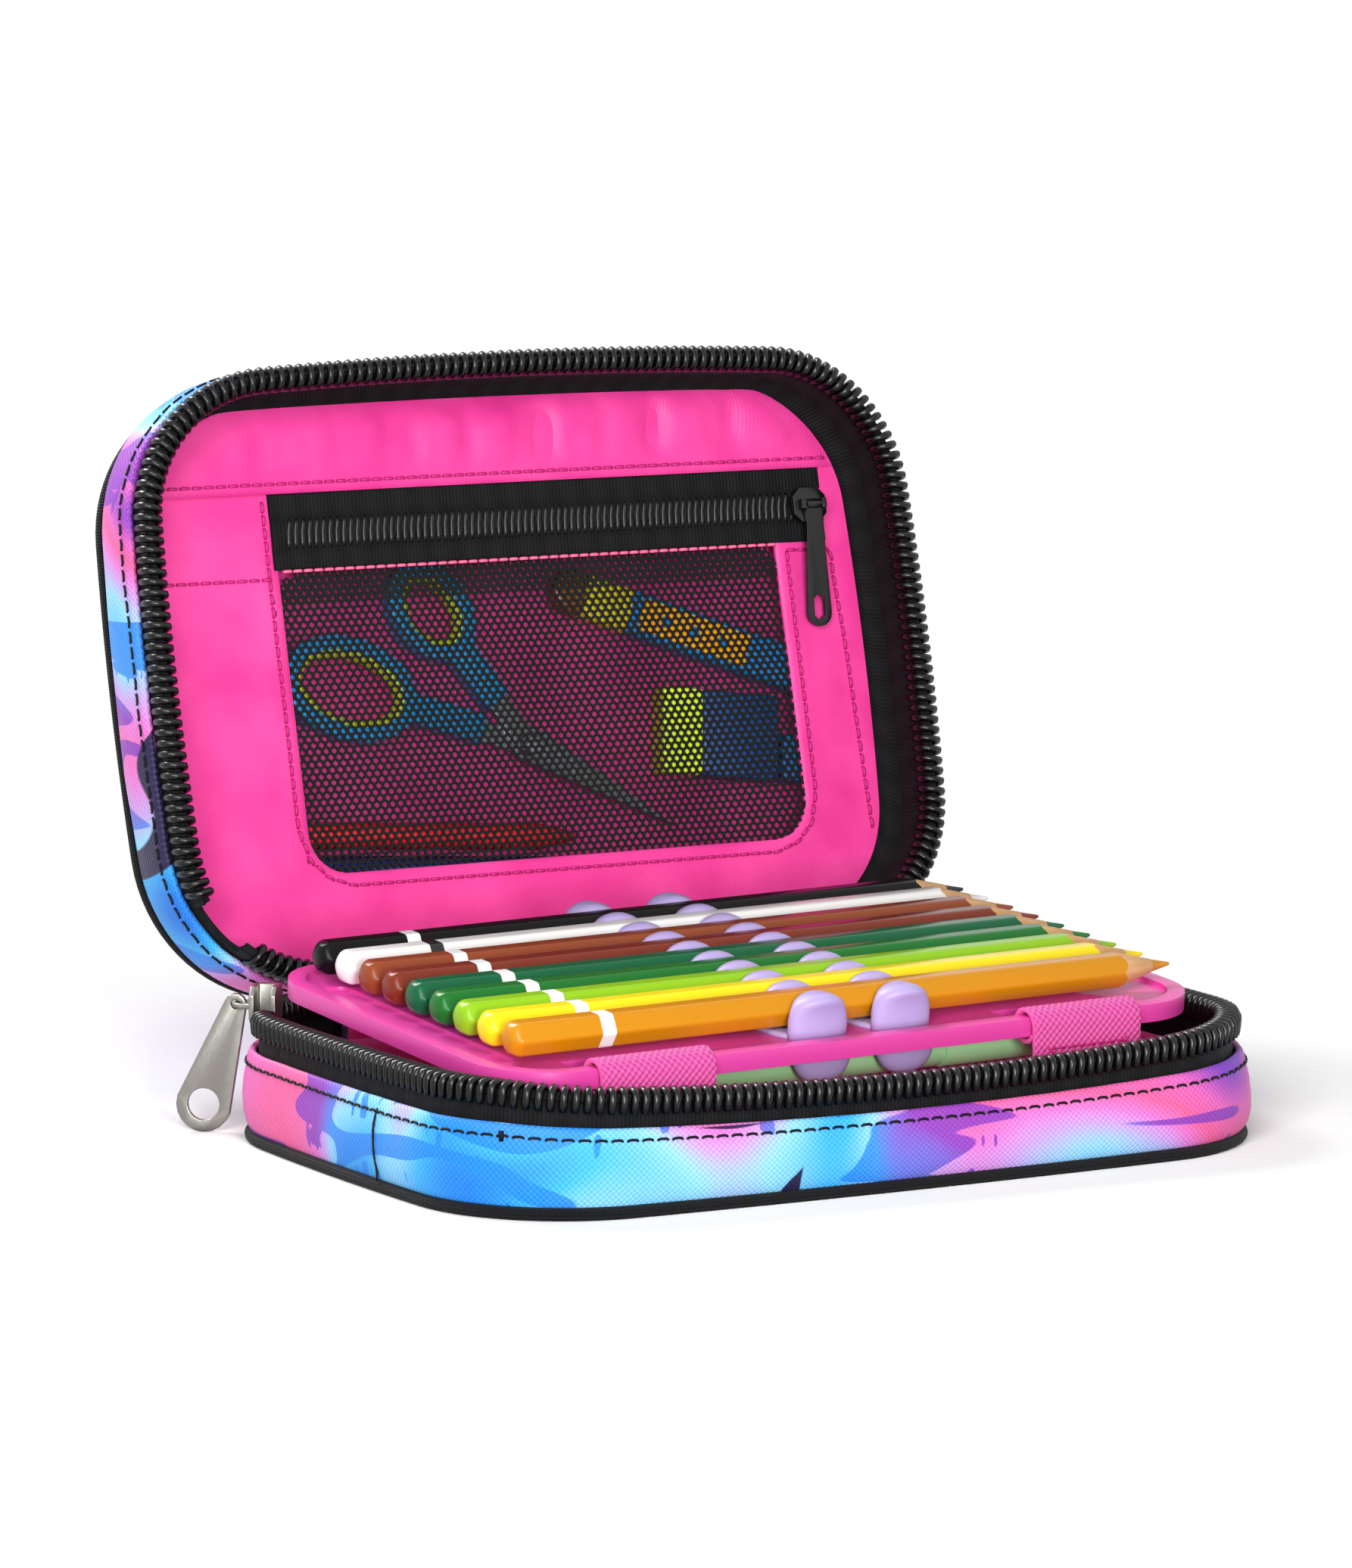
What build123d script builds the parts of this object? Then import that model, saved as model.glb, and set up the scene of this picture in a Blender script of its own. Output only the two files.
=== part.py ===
"""A filled pencil case: two soft tubs joined by a zip and a cloth hinge, with a flip tray of pencils.

Millimetres, +Z up. The origin is the centre of the case's underside, +X runs to the right along
the case and +Y to the back, where the lid is hinged. The case stands open.
"""
from build123d import *
from math import cos, radians, sin
import os

os.makedirs("parts", exist_ok=True)

# Case, measured at the zip line
case_length = 208.0
case_width = 146.0
base_depth = 30.0
lid_depth = 29.5
front_radius = 36.0
back_radius = 36.0
side_bow = 2.8
base_flare = 1.0
lid_draw_in = 1.5
lid_open_angle = 104.0

# Cloth, foam and board
wall_thickness = 2.6
wall_drop = 9.0
panel_thickness = 1.8
lining_thickness = 0.6
piping_radius = 1.5
piping_stand_out = 0.5
piping_gap = 0.1
hinge_gap = 0.2

# Main zip: tape, its corded edge and the teeth on it
tape_thickness = 0.8
tape_drop = 13.0
tooth_pitch = 3.1
tooth_reach = 0.7
tooth_root_drop = 2.4
tooth_depth = 3.2
tooth_root_width = 1.8
tooth_head_width = 1.1

# Main slider and its pull tab
slider_run = 30.0
slider_length = 9.0
slider_height = 9.4
slider_plate = 1.3
slider_gape = 3.6
slider_neck = 2.0
slider_corner = 2.0
slider_room = 2.0
slider_drop = 5.0
bail_wire = 0.75
bail_span = 5.6
bail_reach = 4.6
pull_length = 33.4
pull_ring_radius = 6.4
pull_ring_hole = 3.7
pull_top_radius = 2.6
pull_thickness = 1.6
pull_lean = 18.0
running_gap = 0.25

# Tray, measured from its front rail, about which it flips
rail_y = -52.0
rail_height = 29.1
tray_tilt = 4.5
tray_rise = 0.5
tray_yaw = 2.5
tray_length = 186.0
tray_back_margin = 12.0
tray_shift = 1.0
tray_corner = 18.0
tray_floor = 2.0
rim_width = 4.0
rim_height = 4.2
end_band = 9.0
end_recess = 0.8
rail_slot = 9.0
boss_length = 20.0
boss_width = 12.0
boss_rise = 2.6

# Webbing loops that hold the rail
loop_width = 30.0
loop_thickness = 1.2
loop_gap = 0.1
loop_left_x = -56.0
loop_right_x = 57.0

# Pencils
pencil_length = 176.0
pencil_flats = 7.5
pencil_lead = 2.0
pencil_point = 0.6
pencil_wood = 0.3
pencil_cone = 7.0
pencil_nib = 5.5
pencil_dome = 2.4
pencil_pitch = 10.5
pencil_start = -84.0
first_pencil = 14.0
pencil_count = 9
dome_shares = ((0.0, 0.45), (0.35, 0.8), (1.0, 1.0))
grip_gap = 0.1

# Silicone grippers
gripper_left_x = -8.0
gripper_right_x = 14.0
gripper_width = 15.6
gripper_pad = 1.1
gripper_pad_width = 19.0
gripper_head = 5.4
gripper_head_drop = 1.9
gripper_top = 0.6
gripper_web = 6.0
arch_shares = ((1.0, 0.0), (0.96, 0.45), (0.75, 0.8), (0.4, 1.0))
low_arch_shares = ((1.0, 0.0), (0.85, 0.9), (0.7, 1.0))

# Felt-tip markers under the tray, and a loose one in the base
marker_radius = 4.3
marker_body_length = 92.0
marker_cap_length = 40.0
marker_step = 0.3
marker_plug = 3.0
marker_count = 6
marker_pitch = 14.6
first_marker = 12.6
marker_start = -64.0
loose_marker_radius = 4.3
loose_marker_body = 84.0
loose_marker_cap = 36.0
loose_marker_x = -40.0
loose_marker_y = -60.2
overrun = 6.0

# Pocket in the lid, on a level below the zip line, measured from the hinge
pocket_drop = 19.4
pocket_cloth = 0.6
window_left = -60.0
window_right = 74.0
window_bottom = 27.0
window_top = 98.0
window_corner = 11.0
pocket_zip_line = 108.0
pocket_zip_left = -60.0
pocket_zip_right = 88.0
pocket_slot = 16.0
pocket_tape_overlap = 2.0
coil_pitch = 2.9
coil_bar = 1.3
coil_width = 7.0
coil_height = 1.4
net_pitch_x = 16.7
net_pitch_y = 9.4
net_strand = 1.1
net_thickness = 0.5
pocket_slider_length = 9.0
pocket_slider_width = 8.4
pocket_slider_height = 2.0
pocket_lug = 1.2
pocket_pin = 0.6
pocket_pull_dip = 7.0
pocket_pull_length = 30.0
pocket_pull_width = 6.6
pocket_pull_end = 4.0
pocket_pull_thickness = 1.2
pocket_pull_hole = 3.0

# Scissors in the pocket
rivet_x = 3.0
rivet_y = -55.0
rivet_radius = 2.8
rivet_pin = 1.6
rivet_gap = 0.1
blade_thickness = 1.3
blade_length = 43.0
blade_width = 9.0
blade_angle = 31.0
shank_start = 13.0
shank_length = 20.0
bow_thickness = 5.0
bow_rim = 3.6
large_bow_length = 36.0
large_bow_width = 25.0
large_bow_distance = 49.0
large_bow_angle = 199.0
small_bow_length = 26.0
small_bow_width = 21.0
small_bow_distance = 40.0
small_bow_angle = 236.0
item_rest = 0.1

# Other things in the pocket
tool_length = 78.0
tool_width = 11.0
tool_height = 5.8
tool_angle = 21.0
tool_x = 50.0
tool_y = -79.0
tool_band_length = 9.0
tool_plate_length = 30.0
tool_plate_width = 8.0
tool_plate_thickness = 0.6
tool_eyelet = 1.5
tool_eyelet_pitch = 8.0
block_length = 32.0
block_width = 21.0
block_height = 6.6
block_band = 11.0
block_x = 54.0
block_y = -54.0
block_angle = 8.0
small_eraser_length = 19.0
small_eraser_width = 11.0
small_eraser_height = 6.0
small_eraser_sleeve = 12.0
small_eraser_x = 80.0
small_eraser_y = -46.0
pen_radius = 3.3
pen_length = 84.0
pen_point_length = 9.0
pen_y = -30.0
pen_spacing = 8.0
pen_x = -30.0
pen_angle = 4.0

hinge_origin = (0, case_width / 2, base_depth)
lean = radians(lid_open_angle)
base_frame = Plane(origin=hinge_origin, x_dir=(-1, 0, 0), z_dir=(0, 0, -1))
lid_frame = Plane(origin=hinge_origin, x_dir=(1, 0, 0), z_dir=(0, sin(lean), cos(lean)))
tray_frame = Plane(Location((0, rail_y, rail_height), (tray_tilt, -tray_rise, tray_yaw)))

half_length = case_length / 2 - side_bow
hinge_half = half_length - back_radius
tooth_inset = wall_thickness + tape_thickness / 2

# Each half: its frame at the zip line with z into the tub, its depth, how far its outer face
# spreads past the zip line, and the side of the frame on which the slider stands
base_half = (base_frame, base_depth, base_flare, 1)
lid_half = (lid_frame, lid_depth, -lid_draw_in, -1)


def save(piece, name):
    """Label one finished piece and write its file."""
    piece.label = name
    export_step(piece, f"parts/{name}.step")


def level(half, drop, inset):
    """The case's outline on one level of a half, drawn in by an inset."""
    frame, depth, spread, side = half
    grow = spread * drop / depth - inset
    right = half_length + grow
    back = -inset
    front = side_bow - case_width - grow
    middle = (back + front) / 2
    with BuildSketch(frame.offset(drop)) as outline:
        with BuildLine():
            Line((right, back), (-right, back))
            ThreePointArc((-right, back), (-right - side_bow, middle), (-right, front))
            ThreePointArc((-right, front), (0, front - side_bow), (right, front))
            ThreePointArc((right, front), (right + side_bow, middle), (right, back))
        make_face()
        corners = outline.vertices().sort_by_distance(frame.origin)
        fillet(corners[:2], back_radius - inset)
        corners = outline.vertices().sort_by_distance(frame.origin)
        fillet(corners[-2:], front_radius - inset)
    return outline.sketch


def slab(half, inset, near, far):
    """What lies inside a half's outline, drawn in by an inset, between two levels."""
    with BuildPart() as solid:
        loft([level(half, 0, inset), level(half, half[1], inset)], ruled=True)
        split(bisect_by=half[0].offset(near), keep=Keep.TOP)
        split(bisect_by=half[0].offset(far), keep=Keep.BOTTOM)
    return solid.part


def ring(half, inset, width, near, far):
    """A band along a half's outline, between two levels."""
    return slab(half, inset, near, far) - slab(half, inset + width, near, far)


def zip_path(half):
    """The zip's line round the mouth, from one end of the hinge to the other."""
    rim = level(half, 0, tooth_inset).face().outer_wire()
    hinge_edge = rim.edges().sort_by_distance(half[0].origin)[0]
    return Wire([edge for edge in rim.edges() if not edge.is_same(hinge_edge)])


def zip_plane(half, path, distance):
    """A plane on the zip's line, counted from the slider's end: x runs along it, y points outwards."""
    frame, depth, spread, side = half
    share = distance / path.length
    if frame.to_local_coords(path @ 0).X * side < 0:
        share = 1 - share
    plane = Plane(origin=path @ share, x_dir=path % share, z_dir=frame.z_dir)
    outwards = path @ share - (frame.origin - frame.y_dir * (case_width / 2))
    if plane.y_dir.dot(outwards) < 0:
        plane = Plane(origin=path @ share, x_dir=-(path % share), z_dir=frame.z_dir)
    return plane


def slider_space(half):
    """The room in which the slider stands, so that the closed lid clears it."""
    with BuildPart() as space:
        with BuildSketch(zip_plane(half, zip_path(half), slider_run).offset(-overrun)):
            Rectangle(slider_length + 2 * slider_room, 2 * overrun)
        extrude(amount=overrun + slider_drop)
    return space.part


def hinge_stretch(half):
    """The stretch along the back that belongs to the hinge."""
    with BuildPart() as stretch:
        with BuildSketch(half[0]):
            Rectangle(2 * hinge_half, 2 * overrun)
        extrude(amount=2 * tape_drop, both=True)
    return stretch.part


def outer_wall(half):
    """The printed wall, from below the zip to the piping."""
    return ring(half, 0, wall_thickness, wall_drop, half[1] - 2 * (piping_radius + piping_gap))


def outer_panel(half):
    """The board-stiffened face that closes the half."""
    return slab(half, wall_thickness, half[1] - panel_thickness, half[1])


def lining(half):
    """A cup of thin cloth inside the wall and over the panel."""
    floor = half[1] - panel_thickness
    cup = ring(half, wall_thickness, lining_thickness, tape_drop, floor)
    return cup + slab(half, wall_thickness, floor - lining_thickness, floor)


def piping(half):
    """The round cord in its cloth that covers the seam between wall and panel."""
    inset = piping_radius - piping_stand_out
    path = level(half, half[1] - piping_radius - piping_gap, inset).face().outer_wire()
    with BuildPart() as cord:
        with BuildSketch(Plane(origin=path @ 0, z_dir=path % 0)) as section:
            RegularPolygon(piping_radius, 6)
        sweep(section.sketch, path=path)
    return cord.part


def zip_tape(half):
    """The woven tape inside the wall's top edge; the teeth stand on it."""
    tape = ring(half, wall_thickness, tape_thickness, tooth_root_drop, tape_drop)
    return tape - hinge_stretch(half) - slider_space(half)


def zip_teeth(half):
    """One row of teeth; the other half's teeth stand in its gaps when the case is shut."""
    path = zip_path(half)
    count = round(path.length / tooth_pitch)
    first_share = 0.5 - half[3] / 4
    places = [(number + first_share) * path.length / count for number in range(count)]
    slider_half = slider_length / 2 + slider_room + tooth_root_width
    roots = [zip_plane(half, path, place) for place in places if abs(place - slider_run) > slider_half]
    with BuildPart() as tooth:
        with BuildSketch(Plane.XZ):
            Polygon(
                (-tooth_head_width / 2, -tooth_reach),
                (tooth_head_width / 2, -tooth_reach),
                (tooth_root_width / 2, tooth_root_drop),
                (-tooth_root_width / 2, tooth_root_drop),
                align=None,
            )
        extrude(amount=tooth_depth / 2, both=True)
    return Compound(children=[tooth.part.moved(root.location) for root in roots])


def hinge_strip(half):
    """Half of the cloth hinge: a folded strip on top of the back wall."""
    with BuildPart() as strip:
        with BuildSketch(half[0].offset(hinge_gap)):
            with Locations((0, -wall_thickness / 2)):
                Rectangle(2 * hinge_half, wall_thickness)
        extrude(amount=wall_drop - hinge_gap)
    return strip.part


for half, name in ((base_half, "base"), (lid_half, "lid")):
    save(outer_wall(half), f"{name}_wall")
    save(outer_panel(half), f"{name}_panel")
    save(lining(half), f"{name}_lining")
    save(piping(half), f"{name}_piping")
    save(zip_tape(half), f"{name}_zip_tape")
    save(zip_teeth(half), f"{name}_zip_teeth")
    save(hinge_strip(half), f"{name}_hinge_strip")

# Main slider: two plates on a neck, and a bail of wire for the pull tab
slider_mark = zip_plane(base_half, zip_path(base_half), slider_run).offset(slider_drop - slider_height / 2)
slider_frame = Plane(origin=slider_mark.origin, x_dir=-slider_mark.x_dir, z_dir=(0, 0, 1))
slider_face = Plane(origin=slider_frame.origin, x_dir=slider_frame.x_dir, z_dir=slider_frame.y_dir)
plate_out = slider_gape / 2 + slider_plate
bail_level = plate_out + bail_reach - bail_wire
bail_bend = bail_level - 2 * bail_wire
bail_half = bail_span / 2
bail_top = bail_half - 2 * bail_wire
with BuildPart() as main_slider:
    with BuildSketch(slider_face.offset(-plate_out)):
        chamfer(Rectangle(slider_length, slider_height).vertices(), slider_corner)
    extrude(amount=slider_plate)
    with BuildSketch(slider_face.offset(slider_gape / 2)):
        chamfer(Rectangle(slider_length, slider_height).vertices(), slider_corner)
    extrude(amount=slider_plate)
    with BuildSketch(slider_face.offset(-slider_gape / 2)):
        with Locations((slider_length / 2 - slider_neck, 0)):
            Rectangle(slider_neck, slider_height)
    extrude(amount=slider_gape)
    with BuildLine(Plane(slider_frame.origin, x_dir=slider_frame.x_dir, z_dir=slider_frame.z_dir)) as bail_line:
        Polyline(
            (-bail_half, plate_out),
            (-bail_half, bail_bend),
            (-bail_top, bail_level),
            (bail_top, bail_level),
            (bail_half, bail_bend),
            (bail_half, plate_out),
        )
    with BuildSketch(Plane(origin=bail_line.line @ 0, z_dir=bail_line.line % 0)):
        RegularPolygon(bail_wire, 6)
    sweep(path=bail_line.line, transition=Transition.RIGHT)
save(main_slider.part, "main_slider")

# Main pull tab: it hangs on the bail, leans away from the wall and ends in a ring
pull_origin = slider_frame.origin + slider_frame.y_dir * bail_level
pull_down = -slider_frame.z_dir * cos(radians(pull_lean)) + slider_frame.y_dir * sin(radians(pull_lean))
pull_frame = Plane(origin=pull_origin, x_dir=pull_down, z_dir=slider_frame.x_dir)
pull_ring_x = pull_length - pull_ring_radius - pull_top_radius
with BuildPart() as main_pull_tab:
    with BuildSketch(pull_frame.offset(-pull_thickness / 2)):
        RegularPolygon(pull_top_radius, 12)
        with Locations((pull_ring_x, 0)):
            RegularPolygon(pull_ring_radius, 20)
        make_hull()
        RegularPolygon(bail_wire + running_gap, 12, mode=Mode.SUBTRACT)
        with Locations((pull_ring_x, 0)):
            RegularPolygon(pull_ring_hole, 20, mode=Mode.SUBTRACT)
    extrude(amount=pull_thickness)
save(main_pull_tab.part, "main_pull_tab")

# Tray: a moulded floor in a rim whose front is the rail
last_pencil = first_pencil + (pencil_count - 1) * pencil_pitch
tray_width = rim_width / 2 + last_pencil + tray_back_margin
tray_middle = (tray_shift, tray_width / 2 - rim_width / 2)
tray_right = tray_shift + tray_length / 2
tray_left = tray_shift - tray_length / 2
grip_front = first_pencil - pencil_pitch / 2
grip_back = last_pencil + pencil_pitch / 2
grip_middle = (grip_front + grip_back) / 2
grip_length = grip_back - grip_front
recess_x = tray_left + rim_width + end_band / 2
with BuildPart() as pencil_plate:
    with BuildSketch(tray_frame.offset(-rim_height / 2)) as rim:
        with Locations(tray_middle):
            RectangleRounded(tray_length, tray_width, tray_corner)
    extrude(amount=rim_height)
    with BuildSketch(tray_frame.offset(-rim_height / 2)) as hollow:
        with Locations(tray_middle):
            RectangleRounded(tray_length - 2 * rim_width, tray_width - 2 * rim_width, tray_corner - rim_width)
    extrude(amount=rim_height / 2 - tray_floor / 2, mode=Mode.SUBTRACT)
    extrude(hollow.sketch.moved(Location(tray_frame.z_dir * (rim_height / 2 + tray_floor / 2))),
            amount=rim_height, mode=Mode.SUBTRACT)
    with BuildSketch(tray_frame.offset(tray_floor / 2 - end_recess)):
        with Locations((recess_x, tray_middle[1])):
            RectangleRounded(end_band - rim_width / 2, tray_width - 2 * tray_corner, rim_width / 2)
    extrude(amount=end_recess + overrun, mode=Mode.SUBTRACT)
    with BuildSketch(tray_frame.offset(-overrun)):
        for loop_x in (loop_left_x, loop_right_x):
            with Locations((loop_x, rim_width / 2 + rail_slot / 2)):
                Rectangle(loop_width + 2 * loop_thickness, rail_slot)
        for gripper_x in (gripper_left_x, gripper_right_x):
            with Locations((gripper_x, grip_middle)):
                Rectangle(gripper_web, grip_length + gripper_head)
    extrude(amount=2 * overrun, mode=Mode.SUBTRACT)
save(pencil_plate.part, "pencil_plate")

# Webbing loops: a ring of webbing round the rail, sewn down to the bottom of the base
floor_top = panel_thickness + lining_thickness
rail_reach = (rim_width ** 2 + rim_height ** 2) ** 0.5 / 2
loop_inner = rail_reach + loop_gap
loop_outer = loop_inner + loop_thickness
for loop_x, name in ((loop_left_x, "loop_strap_left"), (loop_right_x, "loop_strap_right")):
    loop_origin = tray_frame.origin + tray_frame.x_dir * (loop_x - loop_width / 2)
    loop_plane = Plane(origin=loop_origin, x_dir=tray_frame.x_dir.cross(Vector(0, 0, -1)), z_dir=tray_frame.x_dir)
    with BuildPart() as loop_strap:
        with BuildSketch(loop_plane):
            Circle(loop_outer)
            with Locations((-loop_outer + loop_thickness, -rail_height / 2)):
                Rectangle(2 * loop_thickness, rail_height)
            Circle(loop_inner, mode=Mode.SUBTRACT)
        extrude(amount=loop_width)
        split(bisect_by=Plane.XY.offset(floor_top), keep=Keep.TOP)
    save(loop_strap.part, name)

# Grippers: rows of silicone fins, above for the pencils and below for the markers
pencil_radius = pencil_flats / 3 ** 0.5
pad_top = tray_floor / 2 + gripper_pad
pencil_height = pad_top + grip_gap + pencil_radius
marker_height = -(pad_top + grip_gap + marker_radius)
fin_neck = pencil_pitch - pencil_flats - 2 * grip_gap
fin_top = pencil_height + pencil_radius + gripper_top
head_level = fin_top - gripper_head_drop
neck_level = pencil_height + pencil_radius / 2
low_fin = marker_pitch - 2 * marker_radius - 2 * grip_gap
low_fin_end = marker_height - marker_radius + gripper_head_drop
for gripper_x, name in ((gripper_left_x, "gripper_row_left"), (gripper_right_x, "gripper_row_right")):
    row_origin = tray_frame.origin + tray_frame.x_dir * gripper_x
    row_side = Plane(origin=row_origin, x_dir=tray_frame.y_dir, z_dir=tray_frame.x_dir)
    row_front = Plane(origin=row_origin, x_dir=tray_frame.x_dir, z_dir=-tray_frame.y_dir)
    with BuildPart() as gripper_row:
        with BuildSketch(row_side):
            for number in range(pencil_count + 1):
                with Locations((grip_front + number * pencil_pitch, 0)):
                    Polygon(
                        (-fin_neck / 2, tray_floor / 2),
                        (fin_neck / 2, tray_floor / 2),
                        (fin_neck / 2, neck_level),
                        (gripper_head / 2, head_level),
                        (fin_neck / 2, fin_top),
                        (-fin_neck / 2, fin_top),
                        (-gripper_head / 2, head_level),
                        (-fin_neck / 2, neck_level),
                        align=None,
                    )
            for number in range(marker_count + 1):
                with Locations((first_marker + (number - 0.5) * marker_pitch, (low_fin_end - tray_floor / 2) / 2)):
                    Rectangle(low_fin, -low_fin_end - tray_floor / 2)
        extrude(amount=gripper_width / 2, both=True)
        upper_arch = [(across * gripper_width / 2, up * fin_top) for across, up in arch_shares]
        lower_arch = [(across * gripper_width / 2, up * low_fin_end) for across, up in low_arch_shares]
        right_side = lower_arch[::-1] + upper_arch[1:]
        left_side = [(-across, up) for across, up in right_side[::-1]]
        with BuildSketch(row_front.offset(-grip_back - gripper_head)):
            Polygon(*right_side, *left_side, align=None)
        extrude(amount=grip_length + 2 * pencil_pitch + overrun, mode=Mode.INTERSECT)
        for pad_level in (tray_floor / 2, -pad_top):
            with BuildSketch(tray_frame.offset(pad_level)):
                with Locations((gripper_x, grip_middle)):
                    RectangleRounded(gripper_pad_width, grip_length + gripper_head, gripper_pad_width / 2 - gripper_pad)
            extrude(amount=gripper_pad)
        with BuildSketch(tray_frame.offset(-tray_floor / 2)):
            with Locations((gripper_x, grip_middle)):
                Rectangle(gripper_web, grip_length + gripper_head)
        extrude(amount=tray_floor)
    save(gripper_row.part, name)

def bar(sides, stations):
    """A straight bar along X with flat facets, given by the radius of its section at each station."""
    turns = [radians(90 + 360 / sides * number) for number in range(sides)]
    sections = [[(along, radius * cos(turn), radius * sin(turn)) for turn in turns] for along, radius in stations]
    facets = [sections[0], sections[-1]]
    for near, far in zip(sections, sections[1:]):
        facets += [(near[side - 1], near[side], far[side], far[side - 1]) for side in range(sides)]
    return Solid(Shell([Face(Wire.make_polygon(facet)) for facet in facets]))


# Pencils: a hexagonal casing with a dipped, domed end, cut down to its point round a thick lead
nib_start = pencil_length - pencil_nib
dome = [(along * pencil_dome, wide * pencil_radius) for along, wide in dome_shares]
cone = [(nib_start - pencil_cone, pencil_radius), (nib_start, pencil_lead + pencil_wood)]
lead = bar(8, [(pencil_dome, pencil_lead), (nib_start, pencil_lead), (pencil_length, pencil_point)])
casing = bar(6, dome + cone) - bar(8, [(pencil_dome, pencil_lead), (pencil_length, pencil_lead)])
pencil_names = ("orange", "yellow", "lime", "green", "dark_green", "chestnut", "sienna", "white", "black")
for number, colour in enumerate(pencil_names):
    place = tray_frame.location * Location((pencil_start, first_pencil + number * pencil_pitch, pencil_height))
    save(Compound(children=[casing.moved(place), lead.moved(place)]), f"pencil_{colour}")


def marker_solids(radius, body_length, cap_length):
    """A felt-tip along X: a barrel with its end plug, and the cap pushed on it."""
    barrel_radius = radius - marker_step
    plug = [(0, barrel_radius - 2 * marker_step), (marker_plug, barrel_radius - marker_step)]
    barrel = bar(12, plug + [(marker_plug + marker_step, barrel_radius), (body_length, barrel_radius)])
    cap_end = body_length + cap_length
    cap = bar(12, [(body_length, radius), (cap_end - marker_plug, radius), (cap_end, radius - marker_plug / 2)])
    return barrel, cap


# Markers under the tray, and the loose one
marker_names = ("light_green", "yellow_green", "turquoise", "blue", "violet", "red")
marker_pair = marker_solids(marker_radius, marker_body_length, marker_cap_length)
for number, colour in enumerate(marker_names):
    place = tray_frame.location * Location((marker_start, first_marker + number * marker_pitch, marker_height))
    save(Compound(children=[solid.moved(place) for solid in marker_pair]), f"marker_{colour}")

loose_place = Location((loose_marker_x, loose_marker_y, floor_top + loose_marker_radius + grip_gap / 2))
loose_pair = marker_solids(loose_marker_radius, loose_marker_body, loose_marker_cap)
save(Compound(children=[solid.moved(loose_place) for solid in loose_pair]), "marker_yellow_loose")

# Pocket front: one sheet of cloth across the lid, with a window and a slot for the pocket's zip
pocket_level = pocket_drop
window_width = window_right - window_left
window_height = window_top - window_bottom
slot_low = pocket_zip_line - pocket_slot / 2
slot_high = pocket_zip_line + pocket_slot / 2
window_middle = ((window_left + window_right) / 2, -(window_top + window_bottom) / 2)
zip_middle = ((pocket_zip_left + pocket_zip_right) / 2, -pocket_zip_line)
zip_length = pocket_zip_right - pocket_zip_left
with BuildPart() as pocket_panel:
    add(slab(lid_half, wall_thickness + lining_thickness, pocket_level, pocket_level + pocket_cloth))
    with BuildSketch(lid_frame.offset(pocket_level - overrun)) as cuts:
        with BuildLine():
            FilletPolyline(
                (window_left, -slot_low),
                (window_left, -window_bottom),
                (window_right, -window_bottom),
                (window_right, -slot_low),
                radius=window_corner,
            )
            Line((window_right, -slot_low), (window_left, -slot_low))
        make_face()
        with Locations(zip_middle):
            Rectangle(zip_length, pocket_slot)
    extrude(amount=2 * overrun, mode=Mode.SUBTRACT)
save(pocket_panel.part, "pocket_panel")

with BuildPart() as pocket_zip_tape:
    with BuildSketch(lid_frame.offset(pocket_level)):
        with Locations(zip_middle):
            Rectangle(zip_length, pocket_slot)
    extrude(amount=pocket_cloth)
save(pocket_zip_tape.part, "pocket_zip_tape")

coil_count = int((zip_length - coil_bar) / coil_pitch)
with BuildPart() as pocket_zip_coil:
    with BuildSketch(lid_frame.offset(pocket_level - coil_height)):
        with Locations(zip_middle):
            with GridLocations(coil_pitch, coil_width, coil_count, 1):
                Rectangle(coil_bar, coil_width)
    extrude(amount=coil_height)
save(pocket_zip_coil.part, "pocket_zip_coil")

# Pocket net: one sheet with rows of diamond gaps, every other row shifted by half a gap
net_columns = int((window_width - 2 * net_strand) / net_pitch_x)
net_rows = int((slot_low - window_bottom - 2 * net_strand) / net_pitch_y)
diamond = (net_pitch_x - 2 * net_strand, 2 * (net_pitch_y - net_strand))
net_middle = (window_middle[0], -(slot_low + window_bottom) / 2)
with BuildPart() as pocket_mesh:
    with BuildSketch(lid_frame.offset(pocket_level)) as net:
        with BuildLine():
            FilletPolyline(
                (window_left, -slot_low),
                (window_left, -window_bottom),
                (window_right, -window_bottom),
                (window_right, -slot_low),
                radius=window_corner,
            )
            Line((window_right, -slot_low), (window_left, -slot_low))
        make_face()
        for row in range(net_rows - 1):
            shift = (row % 2) / 2
            row_y = net_middle[1] + (row - (net_rows - 2) / 2) * net_pitch_y
            for column in range(net_columns - 1):
                column_x = net_middle[0] + (column + shift - (net_columns - 1) / 2 + 1 / 4) * net_pitch_x
                half_x = diamond[0] / 2
                half_y = diamond[1] / 2
                with Locations((column_x, row_y)):
                    Polygon((-half_x, 0), (0, -half_y), (half_x, 0), (0, half_y), align=None, mode=Mode.SUBTRACT)
    extrude(amount=net_thickness)
save(pocket_mesh.part, "pocket_mesh")

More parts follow.
